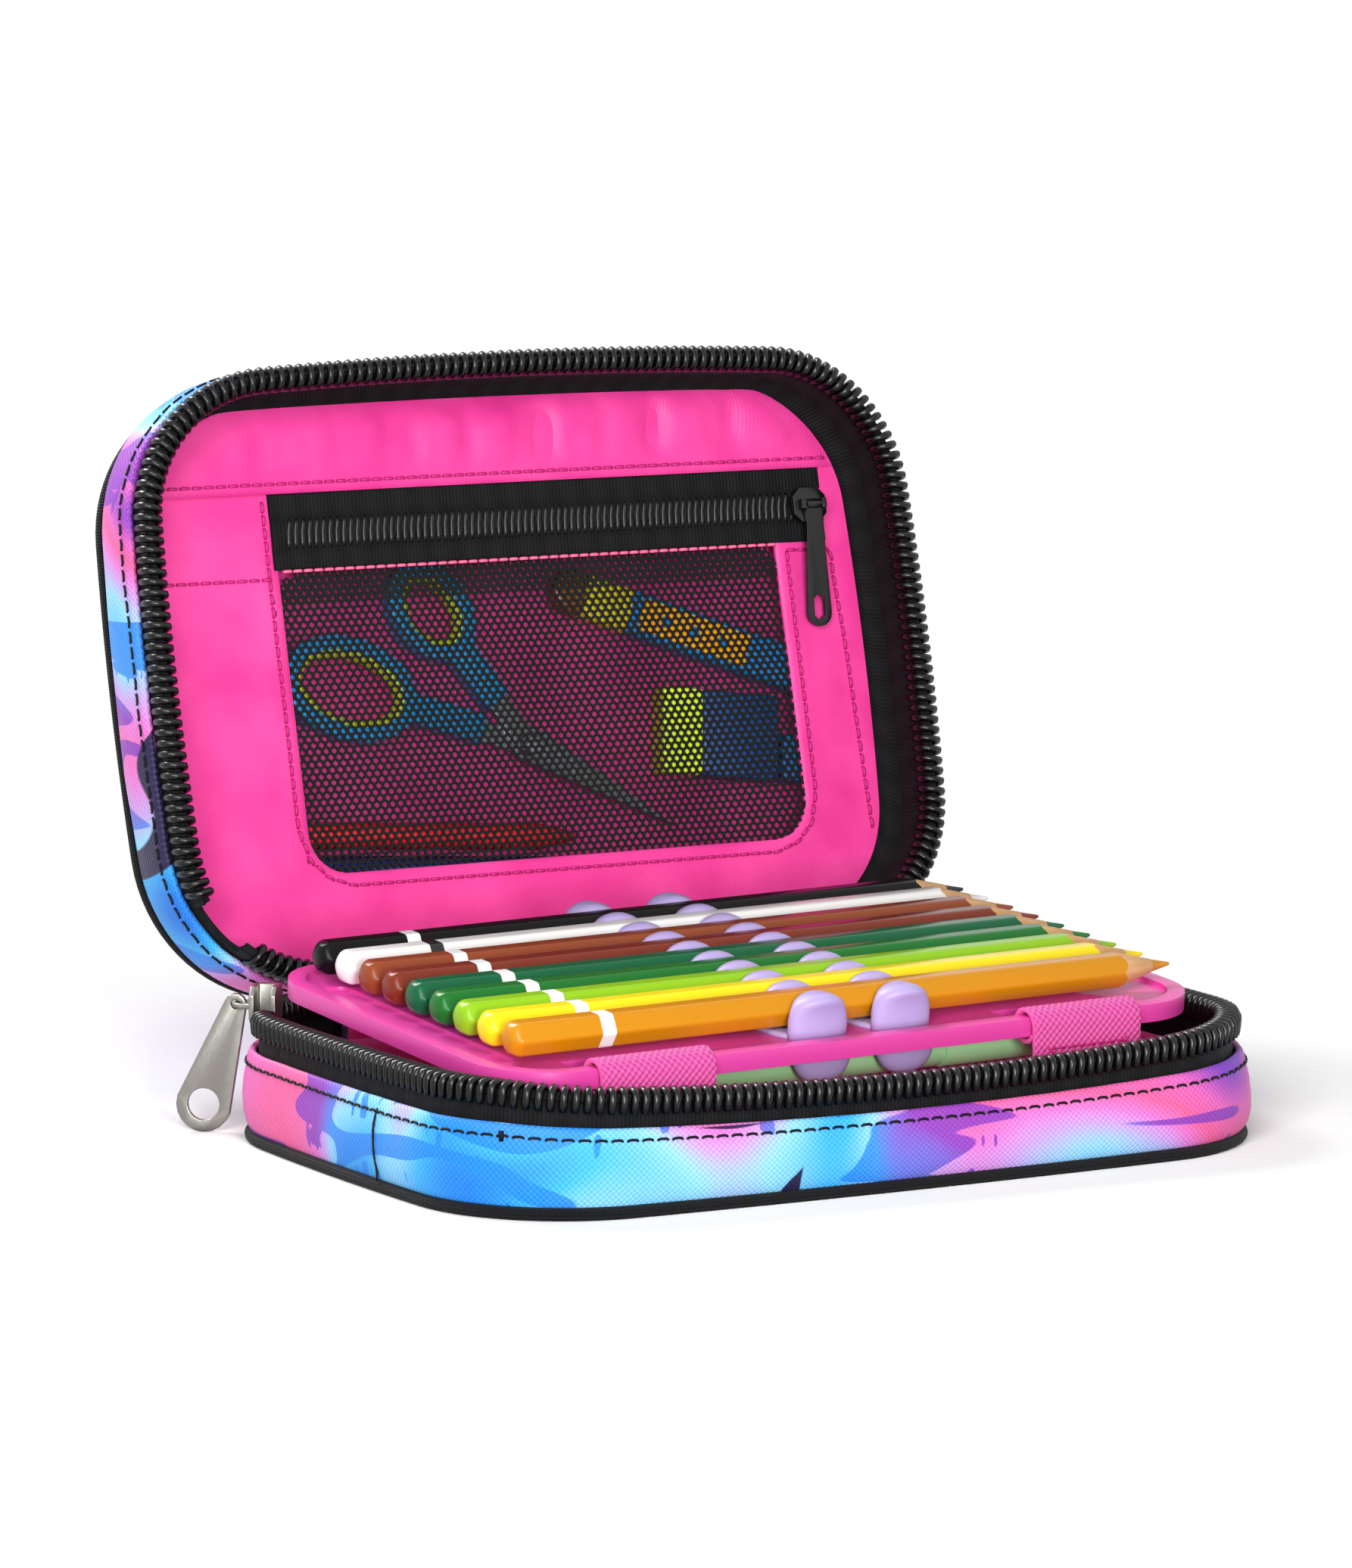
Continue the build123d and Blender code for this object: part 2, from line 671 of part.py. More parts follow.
# Pocket slider at the right end of the pocket's zip: a plate on the coil and a pin between two lugs
pocket_slider_x = pocket_zip_right - pocket_slider_length / 2
slider_back = pocket_level - coil_height - item_rest
slider_front = slider_back - pocket_slider_height
eye_radius = pocket_pin + item_rest + pocket_lug / 2
pin_level = slider_front - item_rest - eye_radius
lug_middle = pocket_pull_end / 2 + running_gap + pocket_lug / 2
pin_place = lid_frame.from_local_coords((pocket_slider_x, -pocket_zip_line, pin_level))
with BuildPart() as pocket_slider:
    with BuildSketch(lid_frame.offset(slider_front)):
        with Locations((pocket_slider_x, -pocket_zip_line)):
            chamfer(Rectangle(pocket_slider_length, pocket_slider_width).vertices(), slider_corner)
    extrude(amount=pocket_slider_height)
    with BuildSketch(lid_frame.offset(pin_level - 3 * pocket_pin / 2)):
        with Locations((pocket_slider_x, -pocket_zip_line)):
            with Locations((-lug_middle, 0), (lug_middle, 0)):
                Rectangle(pocket_lug, 2 * pocket_lug)
    extrude(amount=slider_front - pin_level + 3 * pocket_pin / 2)
    with BuildSketch(Plane(origin=pin_place, z_dir=lid_frame.x_dir)):
        RegularPolygon(pocket_pin, 12)
    extrude(amount=lug_middle, both=True)
save(pocket_slider.part, "pocket_slider")

# Its pull tab hangs from the pin towards the hinge and leans back on the pocket
dip = radians(pocket_pull_dip)
pocket_pull_frame = Plane(
    origin=pin_place,
    x_dir=lid_frame.y_dir * cos(dip) + lid_frame.z_dir * sin(dip),
    z_dir=lid_frame.z_dir * cos(dip) - lid_frame.y_dir * sin(dip),
)
pull_end = pocket_pull_length - pocket_pull_width / 2
with BuildPart() as pocket_pull_tab:
    with BuildSketch(Plane(origin=pin_place, z_dir=lid_frame.x_dir)):
        RegularPolygon(eye_radius, 12)
    extrude(amount=pocket_pull_end / 2, both=True)
    with BuildSketch(pocket_pull_frame.offset(-pocket_pull_thickness / 2)):
        Rectangle(2 * eye_radius, pocket_pull_end)
        with Locations((pull_end, 0)):
            RegularPolygon(pocket_pull_width / 2, 16)
        make_hull()
    extrude(amount=pocket_pull_thickness)
    with BuildSketch(pocket_pull_frame.offset(-pocket_pull_thickness)):
        with Locations((pull_end - pocket_pull_hole / 2, 0)):
            chamfer(Rectangle(2 * pocket_pull_hole, pocket_pull_hole).vertices(), pocket_pull_hole / 3)
    extrude(amount=2 * pocket_pull_thickness, mode=Mode.SUBTRACT)
    with BuildSketch(Plane(origin=pin_place, z_dir=lid_frame.x_dir)):
        RegularPolygon(pocket_pin + item_rest, 12)
    extrude(amount=pocket_pull_end, both=True, mode=Mode.SUBTRACT)
save(pocket_pull_tab.part, "pocket_pull_tab")

# Scissors: two blades that cross on a rivet, each with its tail in a moulded handle
item_top = lid_depth - panel_thickness - lining_thickness - item_rest
blade_level = item_top - bow_thickness / 2
upper_level = blade_level - blade_thickness - rivet_gap
rivet_level = upper_level - blade_thickness


def blade(angle, tail_angle, drop, hole):
    """A tapered blade from behind the rivet to its point."""
    with BuildPart() as solid:
        with BuildSketch(lid_frame.offset(drop)):
            with Locations(Location((rivet_x, rivet_y), angle)):
                Polygon((0, -blade_width / 2), (blade_length, 0), (0, blade_width / 2), align=None)
            with Locations(Location((rivet_x, rivet_y), tail_angle)):
                Rectangle(shank_length, blade_width - bow_rim, align=(Align.MIN, Align.CENTER))
            with Locations((rivet_x, rivet_y)):
                Circle(blade_width / 2)
                Circle(hole, mode=Mode.SUBTRACT)
        extrude(amount=blade_thickness)
    return solid.part


def oval(length, width, mode=Mode.ADD):
    """A sixteen-sided oval in the sketch that is open."""
    turns = [radians(22.5 * number) for number in range(16)]
    Polygon(*[(length / 2 * cos(turn), width / 2 * sin(turn)) for turn in turns], align=None, mode=mode)


def handle(angle, distance, length, width, tail):
    """A finger bow on a shank that grips the blade's tail."""
    shank_end = distance - length / 2 + bow_rim / 2
    with BuildPart() as solid:
        with BuildSketch(lid_frame.offset(item_top - bow_thickness)):
            with Locations(Location((rivet_x, rivet_y), angle)):
                with Locations((distance, 0)):
                    oval(length, width)
                with Locations(((shank_end + shank_start) / 2, 0)):
                    Rectangle(shank_end - shank_start, 2 * bow_rim)
                with Locations((distance, 0)):
                    oval(length - 2 * bow_rim, width - 2 * bow_rim, Mode.SUBTRACT)
        extrude(amount=bow_thickness)
        add(tail, mode=Mode.SUBTRACT)
    return solid.part


lower_blade = blade(blade_angle, large_bow_angle, blade_level, rivet_pin)
upper_blade = blade(blade_angle, small_bow_angle, upper_level, rivet_pin + rivet_gap)
save(lower_blade, "scissors_blade_lower")
save(upper_blade, "scissors_blade_upper")
large_handle = handle(large_bow_angle, large_bow_distance, large_bow_length, large_bow_width, lower_blade)
small_handle = handle(small_bow_angle, small_bow_distance, small_bow_length, small_bow_width, upper_blade)
save(large_handle, "scissors_handle_large")
save(small_handle, "scissors_handle_small")
with BuildPart() as scissors_rivet:
    with BuildSketch(lid_frame.offset(rivet_level)):
        with Locations((rivet_x, rivet_y)):
            RegularPolygon(rivet_radius, 16)
    extrude(amount=blade_thickness - rivet_gap)
    with BuildSketch(lid_frame.offset(rivet_level)):
        with Locations((rivet_x, rivet_y)):
            RegularPolygon(rivet_pin, 16)
    extrude(amount=blade_level + blade_thickness - rivet_level)
save(scissors_rivet.part, "scissors_rivet")

# Barrel tool: a flattened barrel with a coloured band and a plate with three eyelets
tool_place = Location((tool_x, tool_y), tool_angle)
with BuildPart() as tool_barrel:
    with BuildSketch(lid_frame.offset(item_top - tool_height)):
        with Locations(tool_place):
            SlotOverall(tool_length, tool_width)
            with Locations((tool_band_length / 2 - tool_length / 2, 0)):
                Rectangle(tool_band_length, tool_width, mode=Mode.SUBTRACT)
    extrude(amount=tool_height)
save(tool_barrel.part, "tool_barrel")
with BuildPart() as tool_band:
    with BuildSketch(lid_frame.offset(item_top - tool_height)):
        with Locations(tool_place):
            SlotOverall(tool_length, tool_width)
            with Locations((tool_band_length / 2, 0)):
                Rectangle(tool_length - tool_band_length, tool_width, mode=Mode.SUBTRACT)
    extrude(amount=tool_height)
save(tool_band.part, "tool_band")
with BuildPart() as tool_plate:
    with BuildSketch(lid_frame.offset(item_top - tool_height - tool_plate_thickness)):
        with Locations(tool_place):
            RectangleRounded(tool_plate_length, tool_plate_width, tool_plate_thickness)
            with GridLocations(tool_eyelet_pitch, 1, 3, 1):
                RegularPolygon(tool_eyelet, 8, mode=Mode.SUBTRACT)
    extrude(amount=tool_plate_thickness)
save(tool_plate.part, "tool_plate")


def pocket_brick(name, place, length, width, height, shift):
    """One brick-shaped piece lying on the lid's lining."""
    with BuildPart() as brick:
        with BuildSketch(lid_frame.offset(item_top - height)):
            with Locations(place):
                with Locations((shift, 0)):
                    Rectangle(length, width)
        extrude(amount=height)
    save(brick.part, name)


block_place = Location((block_x, block_y), block_angle)
pocket_brick("eraser_block", block_place, block_length - block_band, block_width, block_height, block_band / 2)
pocket_brick("eraser_block_band", block_place, block_band, block_width, block_height, (block_band - block_length) / 2)
small_place = Location((small_eraser_x, small_eraser_y), block_angle)
small_tip = small_eraser_length - small_eraser_sleeve
pocket_brick("small_eraser_sleeve", small_place, small_eraser_sleeve, small_eraser_width, small_eraser_height,
             -small_tip / 2)
pocket_brick("small_eraser", small_place, small_tip, small_eraser_width, small_eraser_height,
             small_eraser_sleeve / 2)

for number, name in enumerate(("pen_navy", "pen_red")):
    start = lid_frame.from_local_coords(
        (pen_x - pen_length / 2, pen_y - number * pen_spacing, item_top - pen_radius)
    )
    pen_direction = lid_frame.x_dir * cos(radians(pen_angle)) + lid_frame.y_dir * sin(radians(pen_angle))
    pen_plane = Plane(origin=start, x_dir=pen_direction, z_dir=lid_frame.z_dir)
    pen = bar(12, [(0, pen_radius), (pen_length - pen_point_length, pen_radius), (pen_length, pen_radius / 3)])
    save(pen.moved(pen_plane.location), name)
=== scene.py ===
"""A filled pencil case, open on a white table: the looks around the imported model."""
import math

import bmesh
import bpy
from mathutils import Matrix, Vector, noise


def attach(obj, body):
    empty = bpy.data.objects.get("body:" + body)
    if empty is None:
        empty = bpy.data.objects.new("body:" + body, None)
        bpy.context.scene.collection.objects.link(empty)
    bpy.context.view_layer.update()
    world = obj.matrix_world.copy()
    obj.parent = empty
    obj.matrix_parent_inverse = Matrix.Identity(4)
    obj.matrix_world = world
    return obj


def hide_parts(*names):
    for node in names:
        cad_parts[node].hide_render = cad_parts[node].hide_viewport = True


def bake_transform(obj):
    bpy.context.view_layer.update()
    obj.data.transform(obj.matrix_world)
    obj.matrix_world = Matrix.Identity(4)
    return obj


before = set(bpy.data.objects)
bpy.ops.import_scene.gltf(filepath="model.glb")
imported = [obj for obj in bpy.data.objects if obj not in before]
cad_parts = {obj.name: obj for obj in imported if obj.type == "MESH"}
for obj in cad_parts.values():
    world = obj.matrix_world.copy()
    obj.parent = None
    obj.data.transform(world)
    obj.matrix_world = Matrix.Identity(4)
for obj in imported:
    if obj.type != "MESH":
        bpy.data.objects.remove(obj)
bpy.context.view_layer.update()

# STUDIO
# A seamless white table under soft boxes, seen by a long lens from the front left, a little above the
# case. The camera's place and its 170 mm lens come from the case's outline in the photograph.
IMAGE, SENSOR = (1786, 2072), 36.0
TURN, HEIGHT, ROLL = (math.radians(degrees) for degrees in (-29.61, 8.12, 0.1))
TARGET, DISTANCE = Vector((0.0461, 0.10811, 0.04998)), 1.79088
FOCAL_PIXELS, SHIFT_PIXELS = 9779.57, (-16.97, 83.19)


def linked(name, data):
    """A new object in the scene."""
    made = bpy.data.objects.new(name, data)
    bpy.context.scene.collection.objects.link(made)
    return made


back = Vector((math.sin(TURN) * math.cos(HEIGHT), -math.cos(TURN) * math.cos(HEIGHT), math.sin(HEIGHT)))
level = (-back).cross(Vector((0, 0, 1))).normalized()
upright = level.cross(-back)
right = level * math.cos(ROLL) + upright * math.sin(ROLL)
above = upright * math.cos(ROLL) - level * math.sin(ROLL)
place = Matrix((right, above, back)).transposed().to_4x4()
place.translation = TARGET + back * DISTANCE
camera = linked("camera", bpy.data.cameras.new("camera"))
camera.matrix_world = place
camera.data.sensor_fit, camera.data.sensor_height = "VERTICAL", SENSOR
camera.data.lens = FOCAL_PIXELS / IMAGE[1] * SENSOR
camera.data.shift_x, camera.data.shift_y = (shift / IMAGE[1] for shift in SHIFT_PIXELS)
camera.data.clip_start, camera.data.clip_end = 0.05, 20
bpy.context.scene.camera = camera
bpy.context.scene.view_settings.view_transform = "Standard"


def colour(text):
    """An sRGB hex value as the linear colour that a socket takes."""
    parts = [int(text[i:i + 2], 16) / 255 for i in (1, 3, 5)]
    return tuple(c / 12.92 if c <= 0.04045 else ((c + 0.055) / 1.055) ** 2.4 for c in parts) + (1.0,)


def add(tree, kind, inputs=None, **settings):
    """One node with its settings, and each input linked or set. Text is a colour."""
    made = tree.nodes.new(kind)
    for key, value in settings.items():
        setattr(made, key, value)
    for key, value in (inputs or {}).items():
        if isinstance(value, bpy.types.NodeSocket):
            tree.links.new(value, made.inputs[key])
        else:
            made.inputs[key].default_value = colour(value) if isinstance(value, str) else value
    return made


def material(name):
    """An empty material and its tree."""
    made = bpy.data.materials.new(name)
    made.use_nodes = True
    made.node_tree.nodes.clear()
    return made, made.node_tree


def surface(tree, inputs):
    """The shader at the end of a material."""
    shader = add(tree, "ShaderNodeBsdfPrincipled", inputs)
    add(tree, "ShaderNodeOutputMaterial", {"Surface": shader.outputs[0]})


def object_space(tree):
    """Where a point lies on its piece."""
    return add(tree, "ShaderNodeTexCoord").outputs["Object"]


def maths(tree, operation, one, two=0.0):
    """A sum, difference, product or other step on one or two values."""
    return add(tree, "ShaderNodeMath", {0: one, 1: two}, operation=operation).outputs[0]


def ranged(tree, value, inputs, kind="LINEAR"):
    """A value carried over from one range, inputs 1 and 2, to another, inputs 3 and 4."""
    return add(tree, "ShaderNodeMapRange", {0: value, **inputs}, interpolation_type=kind).outputs[0]


def mapped(tree, spot, scale, **inputs):
    """Coordinates scaled, and turned or shifted."""
    return add(tree, "ShaderNodeMapping", {0: spot, "Scale": scale, **inputs}).outputs[0]


def noised(tree, scale, spot=None, **inputs):
    """A noise over the piece, or over the coordinates given."""
    spot = object_space(tree) if spot is None else spot
    return add(tree, "ShaderNodeTexNoise", {"Vector": spot, "Scale": scale, **inputs}).outputs[0]


def painted(tree, under, mask, over):
    """One colour painted over another through a mask."""
    return add(tree, "ShaderNodeMix", {0: mask, 6: under, 7: over}, data_type="RGBA").outputs[2]


def bumped(tree, strength, distance, height, **inputs):
    """The fine relief of a surface."""
    inputs = {"Strength": strength, "Distance": distance, "Height": height, **inputs}
    return add(tree, "ShaderNodeBump", inputs).outputs[0]


def ramped(tree, value, stops, kind="LINEAR"):
    """A colour ramp through stops, each a position and a colour."""
    ramp = add(tree, "ShaderNodeValToRGB", {0: value})
    ramp.color_ramp.interpolation = kind
    elements = ramp.color_ramp.elements
    elements[0].position, elements[1].position = stops[0][0], stops[-1][0]
    for position, _ in stops[1:-1]:
        elements.new(position)
    for element, (_, text) in zip(elements, stops):
        element.color = colour(text)
    return ramp.outputs[0]


SMOOTH = "SMOOTHSTEP"
table_paper, tree = material("white_seamless_paper")
seen = add(tree, "ShaderNodeLightPath")
paper = add(tree, "ShaderNodeBsdfDiffuse", {"Color": "#dedede", "Roughness": 1.0})
white = add(tree, "ShaderNodeEmission", {"Color": "#ffffff"})
away = add(tree, "ShaderNodeVectorMath", {0: object_space(tree)}, operation="LENGTH").outputs["Value"]
fade = ranged(tree, away, {1: 0.17, 2: 0.30}, SMOOTH)
shown = maths(tree, "MULTIPLY", fade, seen.outputs["Is Camera Ray"])
ground = add(tree, "ShaderNodeMixShader", {0: shown, 1: paper.outputs[0], 2: white.outputs[0]})
add(tree, "ShaderNodeOutputMaterial", {"Surface": ground.outputs[0]})
bpy.ops.mesh.primitive_plane_add(size=8, location=(0, 0, 0))
table = bpy.context.object
table.name = "table"
table.data.materials.append(table_paper)

world = bpy.data.worlds.new("studio")
bpy.context.scene.world = world
world.use_nodes = True
tree = world.node_tree
tree.nodes.clear()
seen = add(tree, "ShaderNodeLightPath")
direct = maths(tree, "MAXIMUM", seen.outputs["Is Camera Ray"], seen.outputs["Is Glossy Ray"])
strength = add(tree, "ShaderNodeMix", {0: direct, 2: 0.27, 3: 1.0}, data_type="FLOAT")
light = add(tree, "ShaderNodeBackground", {"Color": "#ffffff", "Strength": strength.outputs[0]})
add(tree, "ShaderNodeOutputWorld", {"Surface": light.outputs[0]})


def soft_box(name, place, aim, size, watts):
    """A square lamp turned towards a point."""
    lamp = bpy.data.lights.new(name, "AREA")
    lamp.size, lamp.energy = size, watts
    made = linked(name, lamp)
    made.location = place
    made.rotation_euler = (Vector(aim) - Vector(place)).to_track_quat("-Z", "Y").to_euler()


soft_box("rear_overhead_box", (-0.3, 0.75, 0.9), (0, 0, 0), 0.5, 15)
soft_box("left_box", (-0.95, -1.1, 0.7), (0, 0, 0.08), 0.7, 14)
soft_box("low_front_box", (-0.5, -1.6, 0.26), (0, 0, 0.05), 0.4, 17)


def plain(name, text, rough, metal=0.0, grain=0.0, grain_size=300.0, specular=0.5, **extra):
    """A moulded or cast material of one colour, with a fine unevenness in its gloss."""
    made, tree = material(name)
    cloud = noised(tree, grain_size, Detail=2.0)
    gloss = ranged(tree, cloud, {3: rough * 0.85, 4: rough * 1.2})
    surface(tree, {"Base Color": text, "Roughness": gloss, "Metallic": metal, "Specular IOR Level": specular,
                   "Normal": bumped(tree, grain, 0.0001, cloud), **extra})
    return made


# PRINTED WALLS
# Each half's wall is foam between a printed 600-denier polyester and a nylon lining, sewn to the zip's
# tape at the top and into the piping at the bottom. It bellies out a little between the two seams.
MM = 0.001
HALVES = ("base", "lid")
CASE_LENGTH, CASE_WIDTH, SIDE_BOW, CORNER = 208.0, 146.0, 2.8, 36.0
MIDDLE = Vector((0, -CASE_WIDTH / 2))
DEPTH = {"base": 30.0, "lid": 29.5}
SPREAD = {"base": 1.0, "lid": -1.5}
LEAN = math.radians(104)
FRONT_SAG, SAG_HALF_WIDTH, SAG_START, SAG_RUN = 4.5, 96, 96, 44
REAR_STEPS, CORNER_STEPS, SIDE_STEPS, FRONT_STEPS = 12, 18, 22, 26


def meet(point, centre_a, radius_a, centre_b, radius_b):
    """The point on two circles that is nearest to a first guess."""
    for _ in range(40):
        point = centre_a + (point - centre_a).normalized() * radius_a
        point = centre_b + (point - centre_b).normalized() * radius_b
    return point


def outline(half, drop, inset):
    """The case's outline in millimetres, from the middle of the hinge, right side first."""
    grow = SPREAD[half] * drop / DEPTH[half] - inset
    side = CASE_LENGTH / 2 - SIDE_BOW + grow
    rear, front = -inset, SIDE_BOW - CASE_WIDTH - grow
    corner = CORNER - inset
    reach = (rear - front) / 2
    side_radius = (reach ** 2 + SIDE_BOW ** 2) / (2 * SIDE_BOW)
    side_centre = Vector((side + SIDE_BOW - side_radius, (rear + front) / 2))
    front_radius = (side ** 2 + SIDE_BOW ** 2) / (2 * SIDE_BOW)
    front_centre = Vector((0, front - SIDE_BOW + front_radius))
    rear_turn = Vector((0, rear - corner))
    rear_turn.x = side_centre.x + math.sqrt((side_radius - corner) ** 2 - (rear_turn.y - side_centre.y) ** 2)
    guess = Vector((side - corner, front + corner))
    front_turn = meet(guess, side_centre, side_radius - corner, front_centre, front_radius - corner)

    def arc(centre, radius, start, end, count):
        return [centre + Vector((math.cos(a), math.sin(a))) * radius
                for a in [start + (end - start) * i / count for i in range(count)]]

    def angle(vector):
        return math.atan2(vector.y, vector.x)

    side_start, side_end = angle(rear_turn - side_centre), angle(front_turn - side_centre)
    front_end = angle(front_turn - front_centre)
    half_way = [Vector((rear_turn.x * i / REAR_STEPS, rear)) for i in range(REAR_STEPS)]
    half_way += arc(rear_turn, corner, math.pi / 2, side_start, CORNER_STEPS)
    half_way += arc(side_centre, side_radius, side_start, side_end, SIDE_STEPS)
    half_way += arc(front_turn, corner, side_end, front_end, CORNER_STEPS)
    half_way += arc(front_centre, front_radius, front_end, -math.pi / 2, FRONT_STEPS)
    last = front_centre + Vector((0, -front_radius))
    mirrored = [Vector((-p.x, p.y)) for p in half_way[:0:-1]]
    return half_way + [last] + mirrored


def ease(value):
    """A smooth step from 0 to 1."""
    value = min(max(value, 0.0), 1.0)
    return value * value * (3 - 2 * value)


def sag(x, y):
    """How far the zip's line dips at the front of the case."""
    return FRONT_SAG * max(0.0, 1 - (x / SAG_HALF_WIDTH) ** 2) * ease((-y - SAG_START) / SAG_RUN)


def put(half, x, y, drop):
    """A place given on a half, in millimetres, as a point of the open case in metres."""
    hinge_y, hinge_z = CASE_WIDTH / 2, DEPTH["base"]
    if half == "base":
        return Vector((x, hinge_y + y, (hinge_z - drop) * (1 - sag(x, y) / hinge_z))) * MM
    drop -= sag(x, y) * (1 - drop / DEPTH["lid"])
    return Vector((
        x,
        hinge_y + math.cos(LEAN) * y + math.sin(LEAN) * drop,
        hinge_z - math.sin(LEAN) * y + math.cos(LEAN) * drop,
    )) * MM


def turns(count):
    """Equal steps round a circle."""
    return [2 * math.pi * k / count for k in range(count)]


def placed(half, spots, drop):
    """Points of an outline at one depth of a half."""
    return [put(half, p.x, p.y, drop) for p in spots]


def on_lid(x, height, drop):
    """A place in the lid: across, above the hinge and into its depth."""
    return put("lid", x, -height, drop)


def mesh_of(name, vertices, faces, finish):
    """A mesh of one finish."""
    mesh = bpy.data.meshes.new(name)
    mesh.from_pydata(vertices, [], faces)
    mesh.materials.append(finish)
    return mesh


def skin(name, rows, finish, closed=False, laid=None):
    """A surface through rows of points, with a UV map in metres: u along the rows, v across them, or as
    it was laid out flat. Points that coincide become one."""
    count = len(rows[0])
    along = [0.0]
    middle = rows[len(rows) // 2]
    for i in range(count):
        along.append(along[-1] + (middle[(i + 1) % count] - middle[i]).length)
    across = [0.0]
    for a, b in zip(rows, rows[1:]):
        across.append(across[-1] + sum((q - p).length for p, q in zip(a, b)) / count)
    cells = [((r, c), (r, c + 1), (r + 1, c + 1), (r + 1, c))
             for r in range(len(rows) - 1) for c in range(count if closed else count - 1)]
    faces = [[r * count + c % count for r, c in cell] for cell in cells]
    mesh = mesh_of(name, [p for row in rows for p in row], faces, finish)
    layer = mesh.uv_layers.new(name="cloth")
    for loop, (r, c) in zip(layer.data, [corner for cell in cells for corner in cell]):
        loop.uv = laid[r][c % count] if laid else (along[c], across[r])
    mesh.polygons.foreach_set("use_smooth", [True] * len(faces))
    work = bmesh.new()
    work.from_mesh(mesh)
    bmesh.ops.remove_doubles(work, verts=work.verts, dist=1e-6)
    work.to_mesh(mesh)
    work.free()
    return linked(name, mesh)


def outwards(made):
    """Close a piece's open ends and turn its faces outwards."""
    work = bmesh.new()
    work.from_mesh(made.data)
    bmesh.ops.holes_fill(work, edges=[e for e in work.edges if e.is_boundary], sides=0)
    bmesh.ops.recalc_face_normals(work, faces=work.faces)
    work.to_mesh(made.data)
    work.free()
    return made


def evaluated(made):
    """The mesh of a piece as its modifiers leave it."""
    graph = bpy.context.evaluated_depsgraph_get()
    shape = made.evaluated_get(graph)
    return bpy.data.meshes.new_from_object(shape, preserve_all_data_layers=True, depsgraph=graph)


def applied(made):
    """The piece with its modifiers made final."""
    mesh = evaluated(made)
    made.modifiers.clear()
    made.data = mesh
    return made


def keep(made, body, slot, *nodes):
    """Let a piece ride on its body, and stand for the solids that it replaces."""
    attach(made, body)
    if nodes:
        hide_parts(*nodes)


def sheet(made, thickness, offset, body, slot, *nodes, bevel=0.0):
    """Give a sheet its thickness, with softened edges where a bevel is given, and keep it on its body."""
    solid = made.modifiers.new("thickness", "SOLIDIFY")
    solid.thickness, solid.offset = thickness, offset
    if bevel:
        edge = made.modifiers.new("edge", "BEVEL")
        edge.width, edge.segments, edge.limit_method = bevel, 2, "ANGLE"
    keep(outwards(applied(made)), body, slot, *nodes)


def cloth_axes(tree, scale_u, scale_v, turn):
    """The two directions of a cloth, scaled and turned by degrees."""
    spot = add(tree, "ShaderNodeUVMap", uv_map="cloth").outputs[0]
    turned = mapped(tree, spot, (scale_u, scale_v, 1), Rotation=(0, 0, math.radians(turn)))
    return add(tree, "ShaderNodeSeparateXYZ", {0: turned}).outputs


WAVE = 6283.2  # the scale of a sine that repeats every millimetre


def weave(tree, pitch_u, pitch_v, turn=0.0):
    """The height of a plain weave, threads going over and under at the given pitches in millimetres."""
    axes = cloth_axes(tree, WAVE / pitch_u, WAVE / pitch_v, turn)
    return maths(tree, "MULTIPLY", maths(tree, "SINE", axes[0]), maths(tree, "SINE", axes[1]))


def thread_shade_and_highlight(tree, base, threads, dark, light):
    """A colour darker in the threads' low parts and lighter on their crowns: painted shade and painted
    highlight of the weave.
    """
    tone = ranged(tree, threads, {1: -1.0, 2: 1.0, 3: dark, 4: light})
    return add(tree, "ShaderNodeVectorMath", {0: base, "Scale": tone}, operation="SCALE").outputs[0]


# Printed 600-denier polyester, satin: clouds of pink, lilac and sky blue with darker brushed patches
# and short runs of paint. The threads cross every 0.7 mm and catch the light as small dots.
printed_polyester, tree = material("printed_polyester")
spot = object_space(tree)
clouds = noised(tree, 17.0, spot, Detail=1.0, Roughness=0.4, Distortion=0.5)
print_colour = ramped(tree, clouds, (
    (0.30, "#1f7be6"), (0.38, "#3fb4fa"), (0.45, "#93d6fb"), (0.50, "#c9a3ea"), (0.55, "#e67cd0"),
    (0.61, "#f2639f"), (0.67, "#e467bb"), (0.74, "#7d3fc0")))


def brush(scale, squeeze, shift, low, high, warp):
    """A mask of painted patches: where a stretched noise rises over a level."""
    stretched = mapped(tree, spot, squeeze, Location=shift)
    field = noised(tree, scale, stretched, Detail=0.0, Distortion=warp)
    return ranged(tree, field, {1: low, 2: high}, SMOOTH)


# Paint strokes about 40 by 7 mm, and runs 2 mm wide under them: the strokes' own pattern, shifted down
# and kept only where a fine upright pattern is high. Both are a deeper tone of the cloud below.
stroke, stroke_above = (brush(21.0, (1.0, 1.0, 4.2), (0.31, 0.12, z), 0.0, 1.0, 0.8) for z in (0.4, 0.426))
run_there = brush(1.0, (300.0, 300.0, 12.0), (0.2, 0.7, 0.1), 0.60, 0.74, 0.0)
short = maths(tree, "MULTIPLY", maths(tree, "SUBTRACT", 1.0, run_there), 0.2)
wet = maths(tree, "MAXIMUM", stroke, maths(tree, "SUBTRACT", stroke_above, short))
deep_side = ranged(tree, clouds, {1: 0.46, 2: 0.54})
deep = painted(tree, "#1e86ee", deep_side, "#8238b6")
print_colour = painted(tree, print_colour, ranged(tree, wet, {1: 0.66, 2: 0.68, 4: 0.88}, SMOOTH), deep)

